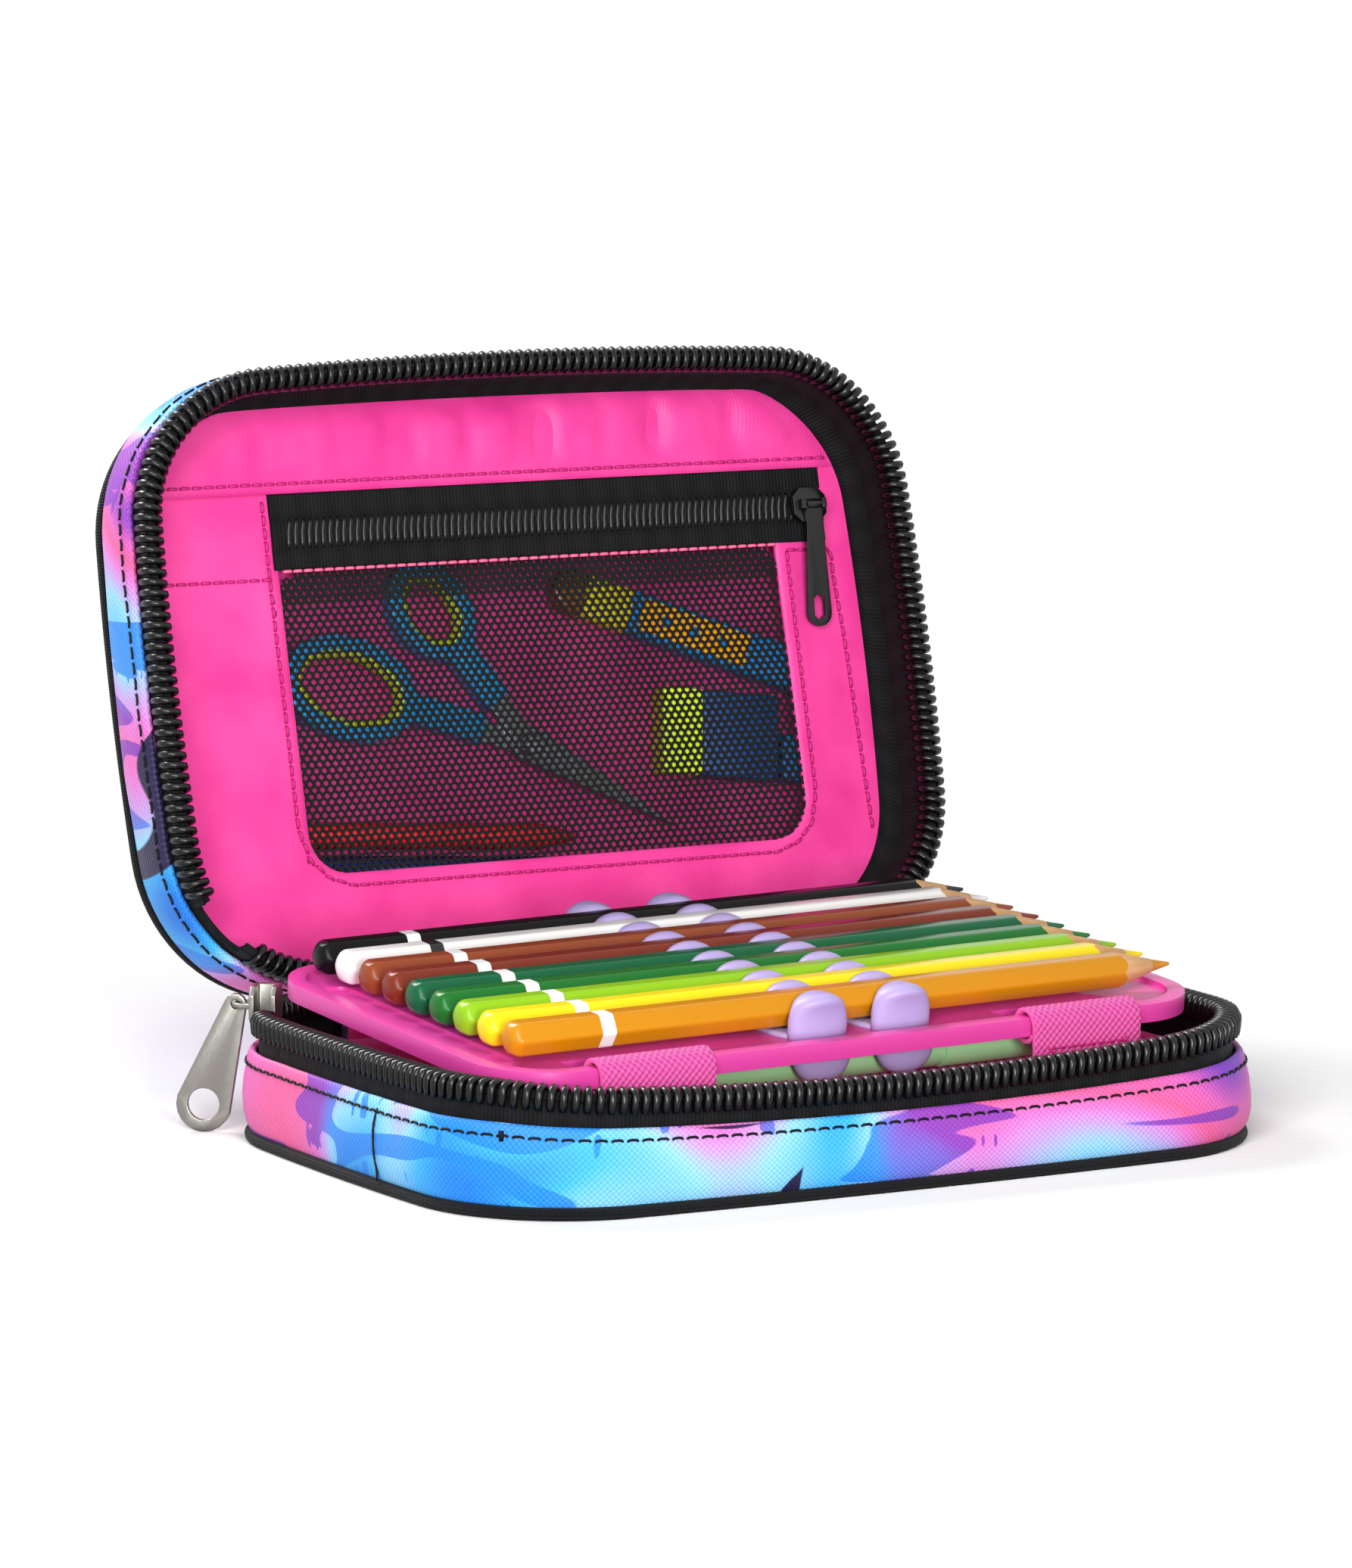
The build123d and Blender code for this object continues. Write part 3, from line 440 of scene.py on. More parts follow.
# Marker strokes in navy, 6 mm wide with tapered ends, along the level lines of a slow pattern.
slow = brush(9.5, (1.0, 1.0, 1.6), (0.61, 0.26, 0.72), 0.0, 1.0, 0.4)
level_line = maths(tree, "ABSOLUTE", maths(tree, "SUBTRACT", slow, 0.5))
pressed = brush(10.0, (1.0, 1.0, 1.0), (0.11, 0.9, 0.31), 0.47, 0.57, 0.3)
width = ranged(tree, pressed, {3: -0.008, 4: 0.036})
navy = ranged(tree, maths(tree, "SUBTRACT", width, level_line), {1: 0.0, 2: 0.004})
print_colour = painted(tree, print_colour, navy, "#231c46")
threads = weave(tree, 1.4, 1.4)
surface(tree, {"Base Color": thread_shade_and_highlight(tree, print_colour, threads, 0.77, 1.18), "Roughness": 0.5,
               "Normal": bumped(tree, 0.5, 0.00014, threads), "Specular IOR Level": 0.3,
               "Sheen Weight": 0.05, "Sheen Roughness": 0.4})


def on_wall(half, ring, i, drop, inset):
    """A point of the wall's outside at one place of the outline, with its swell and its small puckers."""
    p, q = ring[i], ring[(i + 1) % len(ring)]
    normal = Vector((q.y - p.y, p.x - q.x)).normalized() * -1
    swell = noise.noise(Vector((p.x, p.y, drop * 1.6 + (70 if half == "lid" else 0))) * 0.035)
    swell *= 0.9 * ease((drop - 9) / 5) * ease((DEPTH[half] - 2 - drop) / 4)
    ripple = math.sin(i * 1.35) * 0.10 * ease((14 - drop) / 4)
    spot = p - normal * (inset - swell + ripple)
    return put(half, spot.x, spot.y, drop)


def wall_rows(half):
    """The wall's rows from the folded top edge to the piping, bellied and a little uneven."""
    depth = DEPTH[half]
    levels = ((9.6, 1.9), (9.0, 1.2), (8.9, 0.5), (9.6, 0.0), (11.0, -0.35), (12.5, -0.55), (15.5, -1.0),
              (19.0, -1.15), (22.5, -0.95), (depth - 5.0, -0.35), (depth - 3.6, 0.25), (depth - 2.6, 0.9))
    rings = [(outline(half, drop, 0.0), drop, inset) for drop, inset in levels]
    return [[on_wall(half, ring, i, drop, inset) for i in range(len(ring))] for ring, drop, inset in rings]


OUTSIDE = {"base": -1.0, "lid": 1.0}  # on which side of a skin its thickness grows
for half in HALVES:
    wall = skin(f"{half}_printed_wall", wall_rows(half), printed_polyester, closed=True)
    sheet(wall, 0.0006, OUTSIDE[half], half, "printed_cloth", f"{half}_wall")

# OUTER PANELS
# The bottom of the base and the back of the lid: the same printed cloth over thin board and foam, a
# little domed, sewn into the piping all round.


def shrunk(ring, share):
    """An outline drawn in towards the middle of the case."""
    return [MIDDLE + (p - MIDDLE) * share for p in ring]


def panel_rows(half):
    """Rings from the piping to the panel's middle, and where they lie on the flat cloth."""
    rows, laid = [], []
    for share, rise in ((1.0, -1.2), (0.985, -0.45), (0.96, -0.15), (0.9, 0.0), (0.75, 0.12), (0.55, 0.2),
                        (0.3, 0.25), (0.0, 0.25)):
        rise = rise if half == "lid" else min(rise, 0.0) - 0.05
        ring = shrunk(outline(half, DEPTH[half], 1.6), share)
        rows.append(placed(half, ring, DEPTH[half] + rise))
        laid.append([tuple(p * MM) for p in ring])
    return rows, laid


for half in HALVES:
    rows, laid = panel_rows(half)
    panel = skin(f"{half}_outer_panel", rows, printed_polyester, closed=True, laid=laid)
    sheet(panel, 0.0008, OUTSIDE[half], half, "printed_cloth", f"{half}_panel")

# PIPING
# A 3 mm cord in black woven binding that covers the seam between wall and panel.


def woven(name, text, pitch_u, pitch_v, turn, rough, height, strength, sheen=0.03, spread=0.6):
    """A woven ribbon or binding of one colour, its threads shown one by one with painted shade and painted
    highlight.
    """
    made, tree = material(name)
    threads = weave(tree, pitch_u, pitch_v, turn)
    # Painted shade between the threads and painted highlight on them.
    shaded = thread_shade_and_highlight(tree, colour(text)[:3], threads, 1.0 - spread, 1.0 + spread)
    relief = bumped(tree, strength, height, threads)
    surface(tree, {"Base Color": shaded, "Roughness": rough, "Normal": relief, "Specular IOR Level": 0.15,
                   "Sheen Weight": sheen, "Sheen Roughness": 0.5})
    return made


def tube(name, path, radius, finish, sides=12, closed=True, up=Vector((0, 0, 1))):
    """A round cord along a path, of one radius or of one for each point."""
    rows = []
    count = len(path)
    for i, p in enumerate(path):
        ahead = path[(i + 1) % count] if closed or i < count - 1 else p
        behind = path[i - 1] if closed or i > 0 else p
        run = (ahead - behind).normalized()
        out = run.cross(up).normalized()
        rise = out.cross(run)
        size = radius[i] if isinstance(radius, tuple) else radius
        rows.append([p + (out * math.cos(a) + rise * math.sin(a)) * size for a in turns(sides)])
    if closed:
        rows.append(rows[0])
    return outwards(skin(name, rows, finish, closed=True))


black_binding = woven("black_woven_binding", "#111113", 1.0, 1.0, 45, 0.62, 0.0002, 0.9)
lid_back = Vector((0, math.sin(LEAN), math.cos(LEAN)))  # the lid's outside, where its depth grows
MOUTH = {"base": Vector((0, 0, 1)), "lid": -lid_back}  # from a half's floor towards its mouth
for half, up in (("base", Vector((0, 0, 1))), ("lid", lid_back)):
    drop = DEPTH[half] - 1.6
    path = placed(half, outline(half, drop, 1.0), drop)
    cord = tube(f"{half}_seam_piping", path, 0.0015, black_binding, 14, up=up)
    keep(cord, half, "black_webbing", f"{half}_piping")

# MAIN ZIP
# A chunky number 10 coil zip runs round three sides and the corners. Its black twill tape is sewn
# inside the wall, and the coil's loops of glossy black nylon stand over the tape's corded edge, one
# every 2.5 mm.
black_tape = woven("black_twill_tape", "#0e0e10", 1.3, 60.0, 52, 0.7, 0.00015, 0.9)
black_nylon, tree = material("black_coil_nylon")
gloss = ranged(tree, noised(tree, 900.0), {3: 0.2, 4: 0.34})
surface(tree, {"Base Color": "#070708", "Roughness": gloss, "Specular IOR Level": 0.4})
ZIP_INSET, ZIP_PITCH, SLIDER_RUN, SLIDER_SPACE, SLIDER_HALF = 3.0, 2.5, 30.0, 8.3, 7.0
COIL_DROP, CORD_DROP, TAPE_DROP = 0.9, 2.7, 2.05
ZIP_POINTS = 220


def zip_line(half, drop, inset):
    """The zip's way round the mouth from the hinge's left end to its right end."""
    return outline(half, drop, inset)[REAR_STEPS:1 - REAR_STEPS][::-1]


def measure(points):
    """The length run at each point of a line."""
    run = [0.0]
    for a, b in zip(points, points[1:]):
        run.append(run[-1] + (b - a).length)
    return run


def at_length(points, run, value):
    """The point at a length along a line."""
    for i in range(1, len(run)):
        if run[i] >= value or i == len(run) - 1:
            share = (value - run[i - 1]) / (run[i] - run[i - 1])
            return points[i - 1].lerp(points[i], share)


def stretch(half, drop, inset, start, end):
    """Points of the zip's line between two shares of its length, placed in the case."""
    line = zip_line(half, drop, inset)
    run = measure(line)
    count = max(2, int((end - start) * ZIP_POINTS))
    shares = [start + (end - start) * i / count for i in range(count + 1)]
    return placed(half, [at_length(line, run, share * run[-1]) for share in shares], drop)


zip_run = measure(zip_line("base", 0.0, ZIP_INSET))[-1]
slider_start, slider_end = (SLIDER_RUN - SLIDER_HALF) / zip_run, (SLIDER_RUN + SLIDER_HALF) / zip_run
TAPE_FLAP = {
    "base": [(13.0, 3.3)],
    "lid": [(16.5, 4.0), (18.3, 5.6), (18.9, 7.4), (19.3, 7.2), (18.7, 5.2), (17.0, 3.6), (13.0, 3.4)],
}
for half, slider_top in (("base", 5.2), ("lid", 7.0)):
    pieces = []
    for start, end, top in ((0.0, slider_start, TAPE_DROP), (slider_start, slider_end, slider_top),
                            (slider_end, 1.0, TAPE_DROP)):
        under = max(4.0, top + 0.4)
        section = [(top, 2.45), (under, 2.35), (8.8, 2.2), (13.0, 2.5), *TAPE_FLAP[half],
                   (8.0, 3.3), (under, 3.45), (top, 3.45)]
        rows = [stretch(half, drop, inset, start, end) for drop, inset in section]
        pieces.append(outwards(skin(f"{half}_tape", rows + [rows[0]], black_tape)))
        if top == TAPE_DROP:
            cord = stretch(half, CORD_DROP, ZIP_INSET, start, end)
            pieces.append(tube(f"{half}_filler_cord", cord, 0.00122, black_tape, 10, closed=False))
    bpy.ops.object.select_all(action="DESELECT")
    for piece in pieces:
        piece.select_set(True)
    bpy.context.view_layer.objects.active = pieces[0]
    bpy.ops.object.join()
    pieces[0].name = f"{half}_sewn_zip_tape"
    keep(pieces[0], half, "black_webbing", f"{half}_zip_tape")


def coil_loop():
    """One loop of the coil: a wire up the outside, over the top and down the inside."""
    legs = [(0.7, 1.95, -4.4), (0.6, 2.15, -2.7), (0.42, 2.2, -1.1), (0.25, 1.75, -0.05), (0.0, 0.0, 0.42),
            (-0.25, -1.75, -0.05), (-0.42, -2.2, -1.1), (-0.6, -2.15, -2.7), (-0.7, -1.95, -4.4)]
    sizes = tuple(r * MM for r in (0.85, 0.9, 0.97, 0.92, 0.84, 0.92, 0.97, 0.9, 0.85))
    path = [Vector(p) * MM for p in legs]
    return tube("coil_loop", path, sizes, black_nylon, 8, closed=False, up=Vector((1, 0, 0.01)))


def row_of(name, loop, groups, up, finish):
    """A row of equal pieces by Geometry Nodes: one piece on each point of the given lines."""
    curve = bpy.data.curves.new(name, "CURVE")
    curve.dimensions = "3D"
    for spots in groups:
        spline = curve.splines.new("POLY")
        spline.points.add(len(spots) - 1)
        for point, p in zip(spline.points, spots):
            point.co = (*p, 1)
    made = linked(name, curve)
    tree = bpy.data.node_groups.new(name, "GeometryNodeTree")
    tree.interface.new_socket("Path", in_out="INPUT", socket_type="NodeSocketGeometry")
    tree.interface.new_socket("Size", in_out="INPUT", socket_type="NodeSocketFloat").default_value = 1.0
    tree.interface.new_socket("Up", in_out="INPUT", socket_type="NodeSocketVector")
    tree.interface.new_socket("Row", in_out="OUTPUT", socket_type="NodeSocketGeometry")
    given = add(tree, "NodeGroupInput")
    points = add(tree, "GeometryNodeCurveToPoints", {0: given.outputs[0]}, mode="EVALUATED")
    piece = add(tree, "GeometryNodeObjectInfo", {"Object": loop})
    align = "FunctionNodeAlignRotationToVector"
    upwards = add(tree, align, {"Vector": given.outputs[2]}, axis="Z")
    onwards = {"Rotation": upwards.outputs[0], "Vector": points.outputs["Tangent"]}
    turn = add(tree, align, onwards, axis="X", pivot_axis="Z")
    copies = add(tree, "GeometryNodeInstanceOnPoints", {
        "Points": points.outputs[0], "Instance": piece.outputs["Geometry"],
        "Rotation": turn.outputs[0], "Scale": given.outputs[1]})
    real = add(tree, "GeometryNodeRealizeInstances", {0: copies.outputs[0]})
    coated = add(tree, "GeometryNodeSetMaterial", {0: real.outputs[0], "Material": finish})
    add(tree, "NodeGroupOutput", {0: coated.outputs[0]})
    grow = made.modifiers.new("row", "NODES")
    grow.node_group = tree
    grow[tree.interface.items_tree["Size"].identifier] = 1.0
    grow[tree.interface.items_tree["Up"].identifier] = tuple(up)
    mesh = evaluated(made)
    bpy.data.objects.remove(made)
    return linked(name, mesh)


def stub(name, length, radius, finish):
    """One stitch: a thread end to end with rounded tips."""
    bend = ((-0.5, -0.9), (-0.36, 0.1), (0.0, 0.35), (0.36, 0.1), (0.5, -0.9))
    path = [Vector((length * x, 0, radius * z)) for x, z in bend]
    return tube(name, path, radius, finish, 6, closed=False, up=Vector((0, 1, 0.01)))


def sewn(name, points, pitch, finish, up, body, slot, radius=0.00042):
    """A line of stitches along points of a seam."""
    run = measure(points)
    count = max(2, int(run[-1] / pitch))
    spots = [at_length(points, run, (k + 0.5) * run[-1] / count) for k in range(count)]
    stitch = stub(f"{name}_stitch", pitch * 0.72, radius, finish)
    made = row_of(name, stitch, [spots], up, finish)
    bpy.data.objects.remove(stitch)
    keep(made, body, slot)


loop = coil_loop()
for half, first in (("base", 0.25), ("lid", 0.75)):
    line = zip_line(half, COIL_DROP, ZIP_INSET)
    run = measure(line)
    count = round(run[-1] / ZIP_PITCH)
    lengths = [(k + first) * run[-1] / count for k in range(count)]
    parts = [[v for v in lengths if v < SLIDER_RUN - SLIDER_SPACE],
             [v for v in lengths if v > SLIDER_RUN + SLIDER_SPACE]]
    groups = [[put(half, *at_length(line, run, v), COIL_DROP) for v in part] for part in parts]
    row = row_of(f"{half}_coil_row", loop, groups, MOUTH[half], black_nylon)
    keep(row, half, "black_coil", f"{half}_zip_teeth")
bpy.data.objects.remove(loop)

# Topstitching: black thread 2.7 mm below each wall's folded edge, and on the base a bar tack and the
# seam where the two ends of the printed cloth meet.
black_thread = plain("black_polyester_thread", "#0b0b0d", 0.6, specular=0.2)
STITCH_DROP = 11.6
for half in HALVES:
    ring = outline(half, STITCH_DROP, 0.0)
    line = [on_wall(half, ring, i, STITCH_DROP, -0.62) for i in range(REAR_STEPS, len(ring) + 1 - REAR_STEPS)]
    sewn(f"{half}_topstitch", line if half == "base" else line[::-1], 0.0036, black_thread, MOUTH[half],
         half, "black_coil", 0.0003)


def up_the_wall(name, x, y, levels, radius):
    """A black thread up the base's wall, at the outline's nearest place to a point."""
    ring = outline("base", 20.0, 0.0)
    spot = min(range(len(ring)), key=lambda i: (ring[i] - Vector((x, y))).length)
    line = [on_wall("base", outline("base", drop, 0.0), spot, drop, inset) for drop, inset in levels]
    thread = tube(name, line, radius, black_thread, 8, closed=False, up=Vector((0, 1, 0)))
    keep(thread, "base", "black_coil")


up_the_wall("base_wall_seam", -104, -93, [
    (drop, -0.35 - 0.85 * ease((drop - 10.5) / 6) + 0.65 * ease((drop - 20) / 6)) for drop in range(11, 28)
], 0.0003)
up_the_wall("base_bar_tack", -96, -132.8, [(drop, -0.5) for drop in (10.6, 11.6, 12.8)], 0.0006)

# LINING
# Hot-pink nylon twill over the foam, inside both halves. In the lid it shows through the pocket's net.


def twill(name, text, hollow_shade_text):
    """Fine nylon twill: diagonal ribs 0.7 mm apart, a soft satin light and slight puckers, with painted shade
    in the puckers' hollows.
    """
    made, tree = material(name)
    ribs = maths(tree, "SINE", cloth_axes(tree, 9000.0, 9000.0, 35)[0])
    puckers = noised(tree, 55.0, Detail=2.0)
    # Where the puckers sink the colour goes to the darker pink: painted shade in their hollows.
    tone = ranged(tree, puckers, {1: 0.35, 2: 0.7})
    low = bumped(tree, 0.5, 0.0012, puckers)
    surface(tree, {"Base Color": painted(tree, hollow_shade_text, tone, text), "Roughness": 0.45,
                   "Normal": bumped(tree, 0.25, 0.00006, ribs, Normal=low), "Specular IOR Level": 0.35,
                   "Sheen Weight": 0.15, "Sheen Roughness": 0.35, "Sheen Tint": "#ffb0dc"})
    return made


pink_nylon = twill("pink_nylon_twill", "#fb4ba4", "#ec3896")
LINING_TOP = {"base": ((12.4, 3.5), (16.0, 3.7), (20.0, 3.9)), "lid": ((20.4, 3.7), (21.5, 3.8), (23.0, 3.9))}
for half in HALVES:
    depth, rows, laid = DEPTH[half], [], []
    for drop, inset in (*LINING_TOP[half], (depth - 4.5, 4.3), (depth - 3.1, 5.4), (depth - 2.7, 7.5)):
        ring = outline(half, drop, inset)
        rows.append(placed(half, ring, drop))
        laid.append([tuple(p * MM) for p in shrunk(ring, 1 + (depth - drop) / 90)])
    for share in (0.9, 0.8, 0.65, 0.5, 0.35, 0.2, 0.0):
        ring = shrunk(outline(half, depth - 2.6, 7.5), share)
        rows.append(placed(half, ring, depth - 2.5))
        laid.append([tuple(p * MM) for p in ring])
    cup = skin(f"{half}_pink_lining", rows, pink_nylon, closed=True, laid=laid)
    sheet(cup, 0.0004, 0.0, half, "pink_lining", f"{half}_lining")

# CLOTH HINGE
# One strip, pink twill inside and the printed cloth outside, is sewn to both halves along the back.
# Its rows are given by their depth in a half and their way past its back.
HINGE_HALF = 66.0
HINGE_ROWS = {
    "base": ((14.0, 3.0), (10.5, 3.1), (8.6, 2.9), (6.5, 1.2), (3.0, 0.7), (0.8, 0.7), (-0.1, -0.1)),
    "lid": ((1.0, 0.7), (3.0, 0.7), (6.5, 1.2), (8.6, 2.9), (10.5, 3.1), (14.0, 3.1), (20.3, 3.1)),
}
across = [-HINGE_HALF + 2 * HINGE_HALF * i / 40 for i in range(41)]
hinge_rows = [[put(half, x, -off, drop) for x in across] for half in HALVES for drop, off in HINGE_ROWS[half]]
hinge = skin("cloth_hinge", hinge_rows, pink_nylon)
hinge.data.materials.append(printed_polyester)
two_sided = hinge.modifiers.new("thickness", "SOLIDIFY")
two_sided.thickness, two_sided.offset, two_sided.material_offset = 0.0009, 0.0, 1
applied(hinge)
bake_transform(hinge)
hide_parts("base_hinge_strip", "lid_hinge_strip")

# MAIN SLIDER AND PULL TAB
# Die-cast zinc, plated in satin nickel. The body holds both rows of loops, and the flat tab with its
# round ring hangs on the bail outside the case's left rear corner. Both are the CAD solids with
# softened edges.


def softened(name, node, finish, body, slot, bevel):
    """A copy of one CAD solid with rounded edges, in place of the solid."""
    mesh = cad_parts[node].data.copy()
    work = bmesh.new()
    work.from_mesh(mesh)
    bmesh.ops.remove_doubles(work, verts=work.verts, dist=1e-5)
    bmesh.ops.dissolve_limit(work, angle_limit=math.radians(1.5), verts=work.verts, edges=work.edges)
    work.to_mesh(mesh)
    work.free()
    mesh.materials.clear()
    mesh.materials.append(finish)
    made = linked(name, mesh)
    edge = made.modifiers.new("edge", "BEVEL")
    edge.width, edge.segments, edge.limit_method, edge.angle_limit = bevel, 3, "ANGLE", math.radians(28)
    edge.use_clamp_overlap = True
    applied(made)
    made.data.polygons.foreach_set("use_smooth", [True] * len(made.data.polygons))
    made.data.set_sharp_from_angle(angle=math.radians(38))
    keep(made, body, slot, node)


satin_nickel = plain("satin_nickel", "#94928c", 0.36, metal=1.0, grain=0.25, grain_size=900.0)
softened("zip_slider", "main_slider", satin_nickel, "base", "satin_nickel", 0.00045)
softened("ring_pull_tab", "main_pull_tab", satin_nickel, "main_pull", "satin_nickel", 0.00035)

# WEBBING LOOPS
# Two loops of coarse pink polypropylene webbing, 29 mm wide, wrap the tray's front rail and are sewn
# down to the bottom of the base.
pink_webbing = woven("pink_polypropylene_webbing", "#f05cae", 1.7, 1.7, 0, 0.6, 0.0003, 0.9, 0.1, 0.3)
pink_thread = plain("pink_polyester_thread", "#c31c7a", 0.5)
tray_place = (
    Matrix.Translation(Vector((0, -52.0, 29.1)) * MM)
    @ Matrix.Rotation(math.radians(4.5), 4, "X")
    @ Matrix.Rotation(math.radians(-0.5), 4, "Y")
    @ Matrix.Rotation(math.radians(2.5), 4, "Z")
)
rail_run = (tray_place.to_3x3() @ Vector((1, 0, 0))).normalized()
rail_back = rail_run.cross(Vector((0, 0, -1))).normalized()
rail_up = rail_run.cross(rail_back)


def on_rail(along, across, up):
    """A place at the tray's front rail, in millimetres along it, towards the back and up."""
    return tray_place @ (Vector((along, 0, 0)) * MM) + (rail_back * across + rail_up * up) * MM


RAIL_RADIUS, LOOP_WIDTH = 3.6, 29.2
round_the_rail = [math.radians(degrees) for degrees in range(0, 345, 15)]
TACK = (Vector((-11, -5.0)), Vector((11, -5.0)), Vector((0, -14.0)), Vector((-11, -5.0)))
for side, loop_x in (("left", -56.0), ("right", 57.0)):
    path = [(-RAIL_RADIUS, -26.4), (-3.65, -20.0), (-3.7, -14.0), (-3.66, -8.0), (-3.62, -3.0)]
    path += [(-RAIL_RADIUS * math.cos(a), RAIL_RADIUS * math.sin(a)) for a in round_the_rail]
    rows = []
    for across, up in path:
        curls = [1 + 0.024 * (abs(i - 6) / 6) ** 3 for i in range(13)]
        rows.append([on_rail(loop_x - LOOP_WIDTH / 2 + LOOP_WIDTH * i / 12, across * curl, up)
                     for i, curl in enumerate(curls)])
    loop_sheet = skin(f"{side}_webbing_loop", rows, pink_webbing)
    sheet(loop_sheet, 0.0011, 0.0, "base", "pink_webbing", f"loop_strap_{side}", bevel=0.0003)
    line = [a.lerp(b, k / 8) for a, b in zip(TACK, TACK[1:]) for k in range(8)] + [TACK[3]]
    line = [on_rail(loop_x + p.x, -4.35, p.y) for p in line]
    sewn(f"{side}_loop_stitches", line, 0.0026, pink_thread, -rail_back, "base", "pink_webbing", 0.0003)

# FLIP TRAY
# Satin magenta-pink polypropylene moulding: a thin plate with a raised rim, its front rail in the loops.
pink_plastic = plain("pink_polypropylene", "#de44a2", 0.34, grain=0.08, grain_size=60.0)
softened("flip_tray", "pencil_plate", pink_plastic, "tray", "pink_plastic", 0.0006)

# GRIPPERS
# Lilac silicone, moulded through the tray: rounded heads over slim necks hold the pencils above and
# the markers below by squeezing them.
lilac_silicone = plain("lilac_silicone", "#b5a3d8", 0.42, grain=0.05, grain_size=200.0, **{
    "Subsurface Weight": 0.35, "Subsurface Scale": 0.004, "Subsurface Radius": (1.0, 0.8, 0.9)})


def lobe(stations, centre_x, centre_y, points=32, power=2.2):
    """A rounded block as rings of superellipses: height, half width along x and half width along y."""
    shape = []
    for c, s in [(math.cos(a), math.sin(a)) for a in turns(points)]:
        r = (abs(c) ** power + abs(s) ** power) ** (-1 / power)
        shape.append((c * r, s * r))
    return [[Vector((centre_x + x * wide, centre_y + y * deep, height)) for x, y in shape]
            for height, wide, deep in stations]


def capped(name, groups, place, finish):
    """Closed shells through rings of points given in millimetres, joined in one piece."""
    vertices, faces = [], []
    for rings in groups:
        count, start = len(rings[0]), len(vertices)
        vertices += [place @ (p * MM) for ring in rings for p in ring]
        for r in range(len(rings) - 1):
            low, high = start + r * count, start + (r + 1) * count
            faces += [[low + c, low + d, high + d, high + c] for c, d in enumerate([*range(1, count), 0])]
        faces.append([start + c for c in range(count)][::-1])
        faces.append([start + (len(rings) - 1) * count + c for c in range(count)])
    mesh = mesh_of(name, vertices, faces, finish)
    mesh.polygons.foreach_set("use_smooth", [len(f) == 4 for f in faces])
    return outwards(linked(name, mesh))


HEAD = ((0.9, 7.5, 1.5), (3.0, 7.6, 1.35), (5.2, 7.55, 1.35), (7.0, 7.1, 1.5), (8.2, 6.5, 2.0),
        (9.1, 5.8, 2.5), (9.7, 5.0, 2.6), (10.2, 4.1, 2.4), (10.6, 3.1, 1.9), (10.95, 2.0, 1.2),
        (11.08, 0.9, 0.5))
FOOT = ((-0.9, 7.5, 2.85), (-3.0, 7.5, 2.8), (-4.8, 7.1, 2.8), (-6.4, 6.2, 2.7), (-7.6, 5.0, 2.3),
        (-8.5, 3.4, 1.6), (-8.9, 1.4, 0.6))
PENCIL_PITCH, MARKER_PITCH, MARKER_FIRST = 10.5, 14.6, 12.6
for side, grip_x in (("left", -8.0), ("right", 14.0)):
    lobes = []
    for number in range(10):
        outer = {0: -1.3, 9: 1.3}.get(number, 0.0)
        stations = [(height, wide, deep + abs(outer)) for height, wide, deep in HEAD]
        lobes.append(lobe(stations, grip_x, 8.75 + PENCIL_PITCH * number + outer))
    lobes += [lobe(FOOT, grip_x, MARKER_FIRST + (number - 0.5) * MARKER_PITCH) for number in range(7)]
    for near, far in ((-0.95, -2.1), (0.95, 2.1)):
        strip = ((near, 9.4, 49.8), ((near + far) / 2, 9.4, 49.8), (far, 8.8, 49.2))
        lobes.append(lobe(strip, grip_x, 56.0, 48, 7.0))
    row = capped(f"{side}_gripper_row", lobes, tray_place, lilac_silicone)
    keep(row, "tray", "lilac_silicone", f"gripper_row_{side}")

# PENCILS
# Nine hexagonal pencils in glossy lacquer. The blunt end is dipped in a dome, a thin ring is printed
# 22 mm from it, and the sharpened end shows bare cedar between the scalloped lacquer and the lead.
bare_cedar, tree = material("bare_cedar")
grain = noised(tree, 1.0, mapped(tree, object_space(tree), (60.0, 900.0, 900.0)), Detail=2.0)
wood = painted(tree, "#e9bf8c", grain, "#c98f57")
surface(tree, {"Base Color": wood, "Roughness": 0.65})
PENCIL_LENGTH, PENCIL_FLATS, RING_START, CUT_LENGTH = 176.0, 7.5, 22.0, 15.5
CASING, RING_PAINT, CEDAR, LEAD = range(4)
pencil_looks = (
    ("orange", "#d18c0a", "#ffffff"), ("yellow", "#f7e41b", "#ffffff"), ("lime", "#8fc41a", "#ffffff"),
    ("green", "#156f26", "#ffffff"), ("dark_green", "#035f38", "#ffffff"), ("chestnut", "#7d2e19", "#ffffff"),
    ("sienna", "#8f4322", "#ffffff"), ("white", "#f3f2f0", "#17171a"), ("black", "#0d0d0e", "#ffffff"),
)


def hexagon(turn):
    """The half width of a hexagon with rounded edges in one direction, flats of 7.5 mm."""
    sixth = (turn % (math.pi / 3)) - math.pi / 6
    sharp = PENCIL_FLATS / 2 / math.cos(sixth)
    return min(sharp, 4.18) - 0.03 * ease((sharp - 4.0) / 0.2)


# Lines along the pencil, from the dome to the tip: each holds the place, the half width and the
# material in all directions round it.
round_pencil = turns(72)
wide = [hexagon(t) for t in round_pencil]
cut_start, cut_slope = PENCIL_LENGTH - CUT_LENGTH, 4.33 / 12.0
lines = []
for x, share, mix in ((0.0, 0.25, 1.0), (0.12, 0.5, 0.9), (0.5, 0.74, 0.7), (1.2, 0.9, 0.35),
                      (2.0, 0.98, 0.1), (2.6, 1.0, 0.0)):
    lines.append([(x, share * (w * (1 - mix) + PENCIL_FLATS / 2 * mix), CASING) for w in wide])
for x, paint in ((RING_START, CASING), (RING_START + 0.02, RING_PAINT), (RING_START + 3.5, RING_PAINT),
                 (RING_START + 3.52, CASING)):
    lines.append([(x, w + (0.03 if paint else 0.0), paint) for w in wide])
lines.append([(cut_start + (4.36 - w) / cut_slope - 0.35, w, CASING) for w in wide])
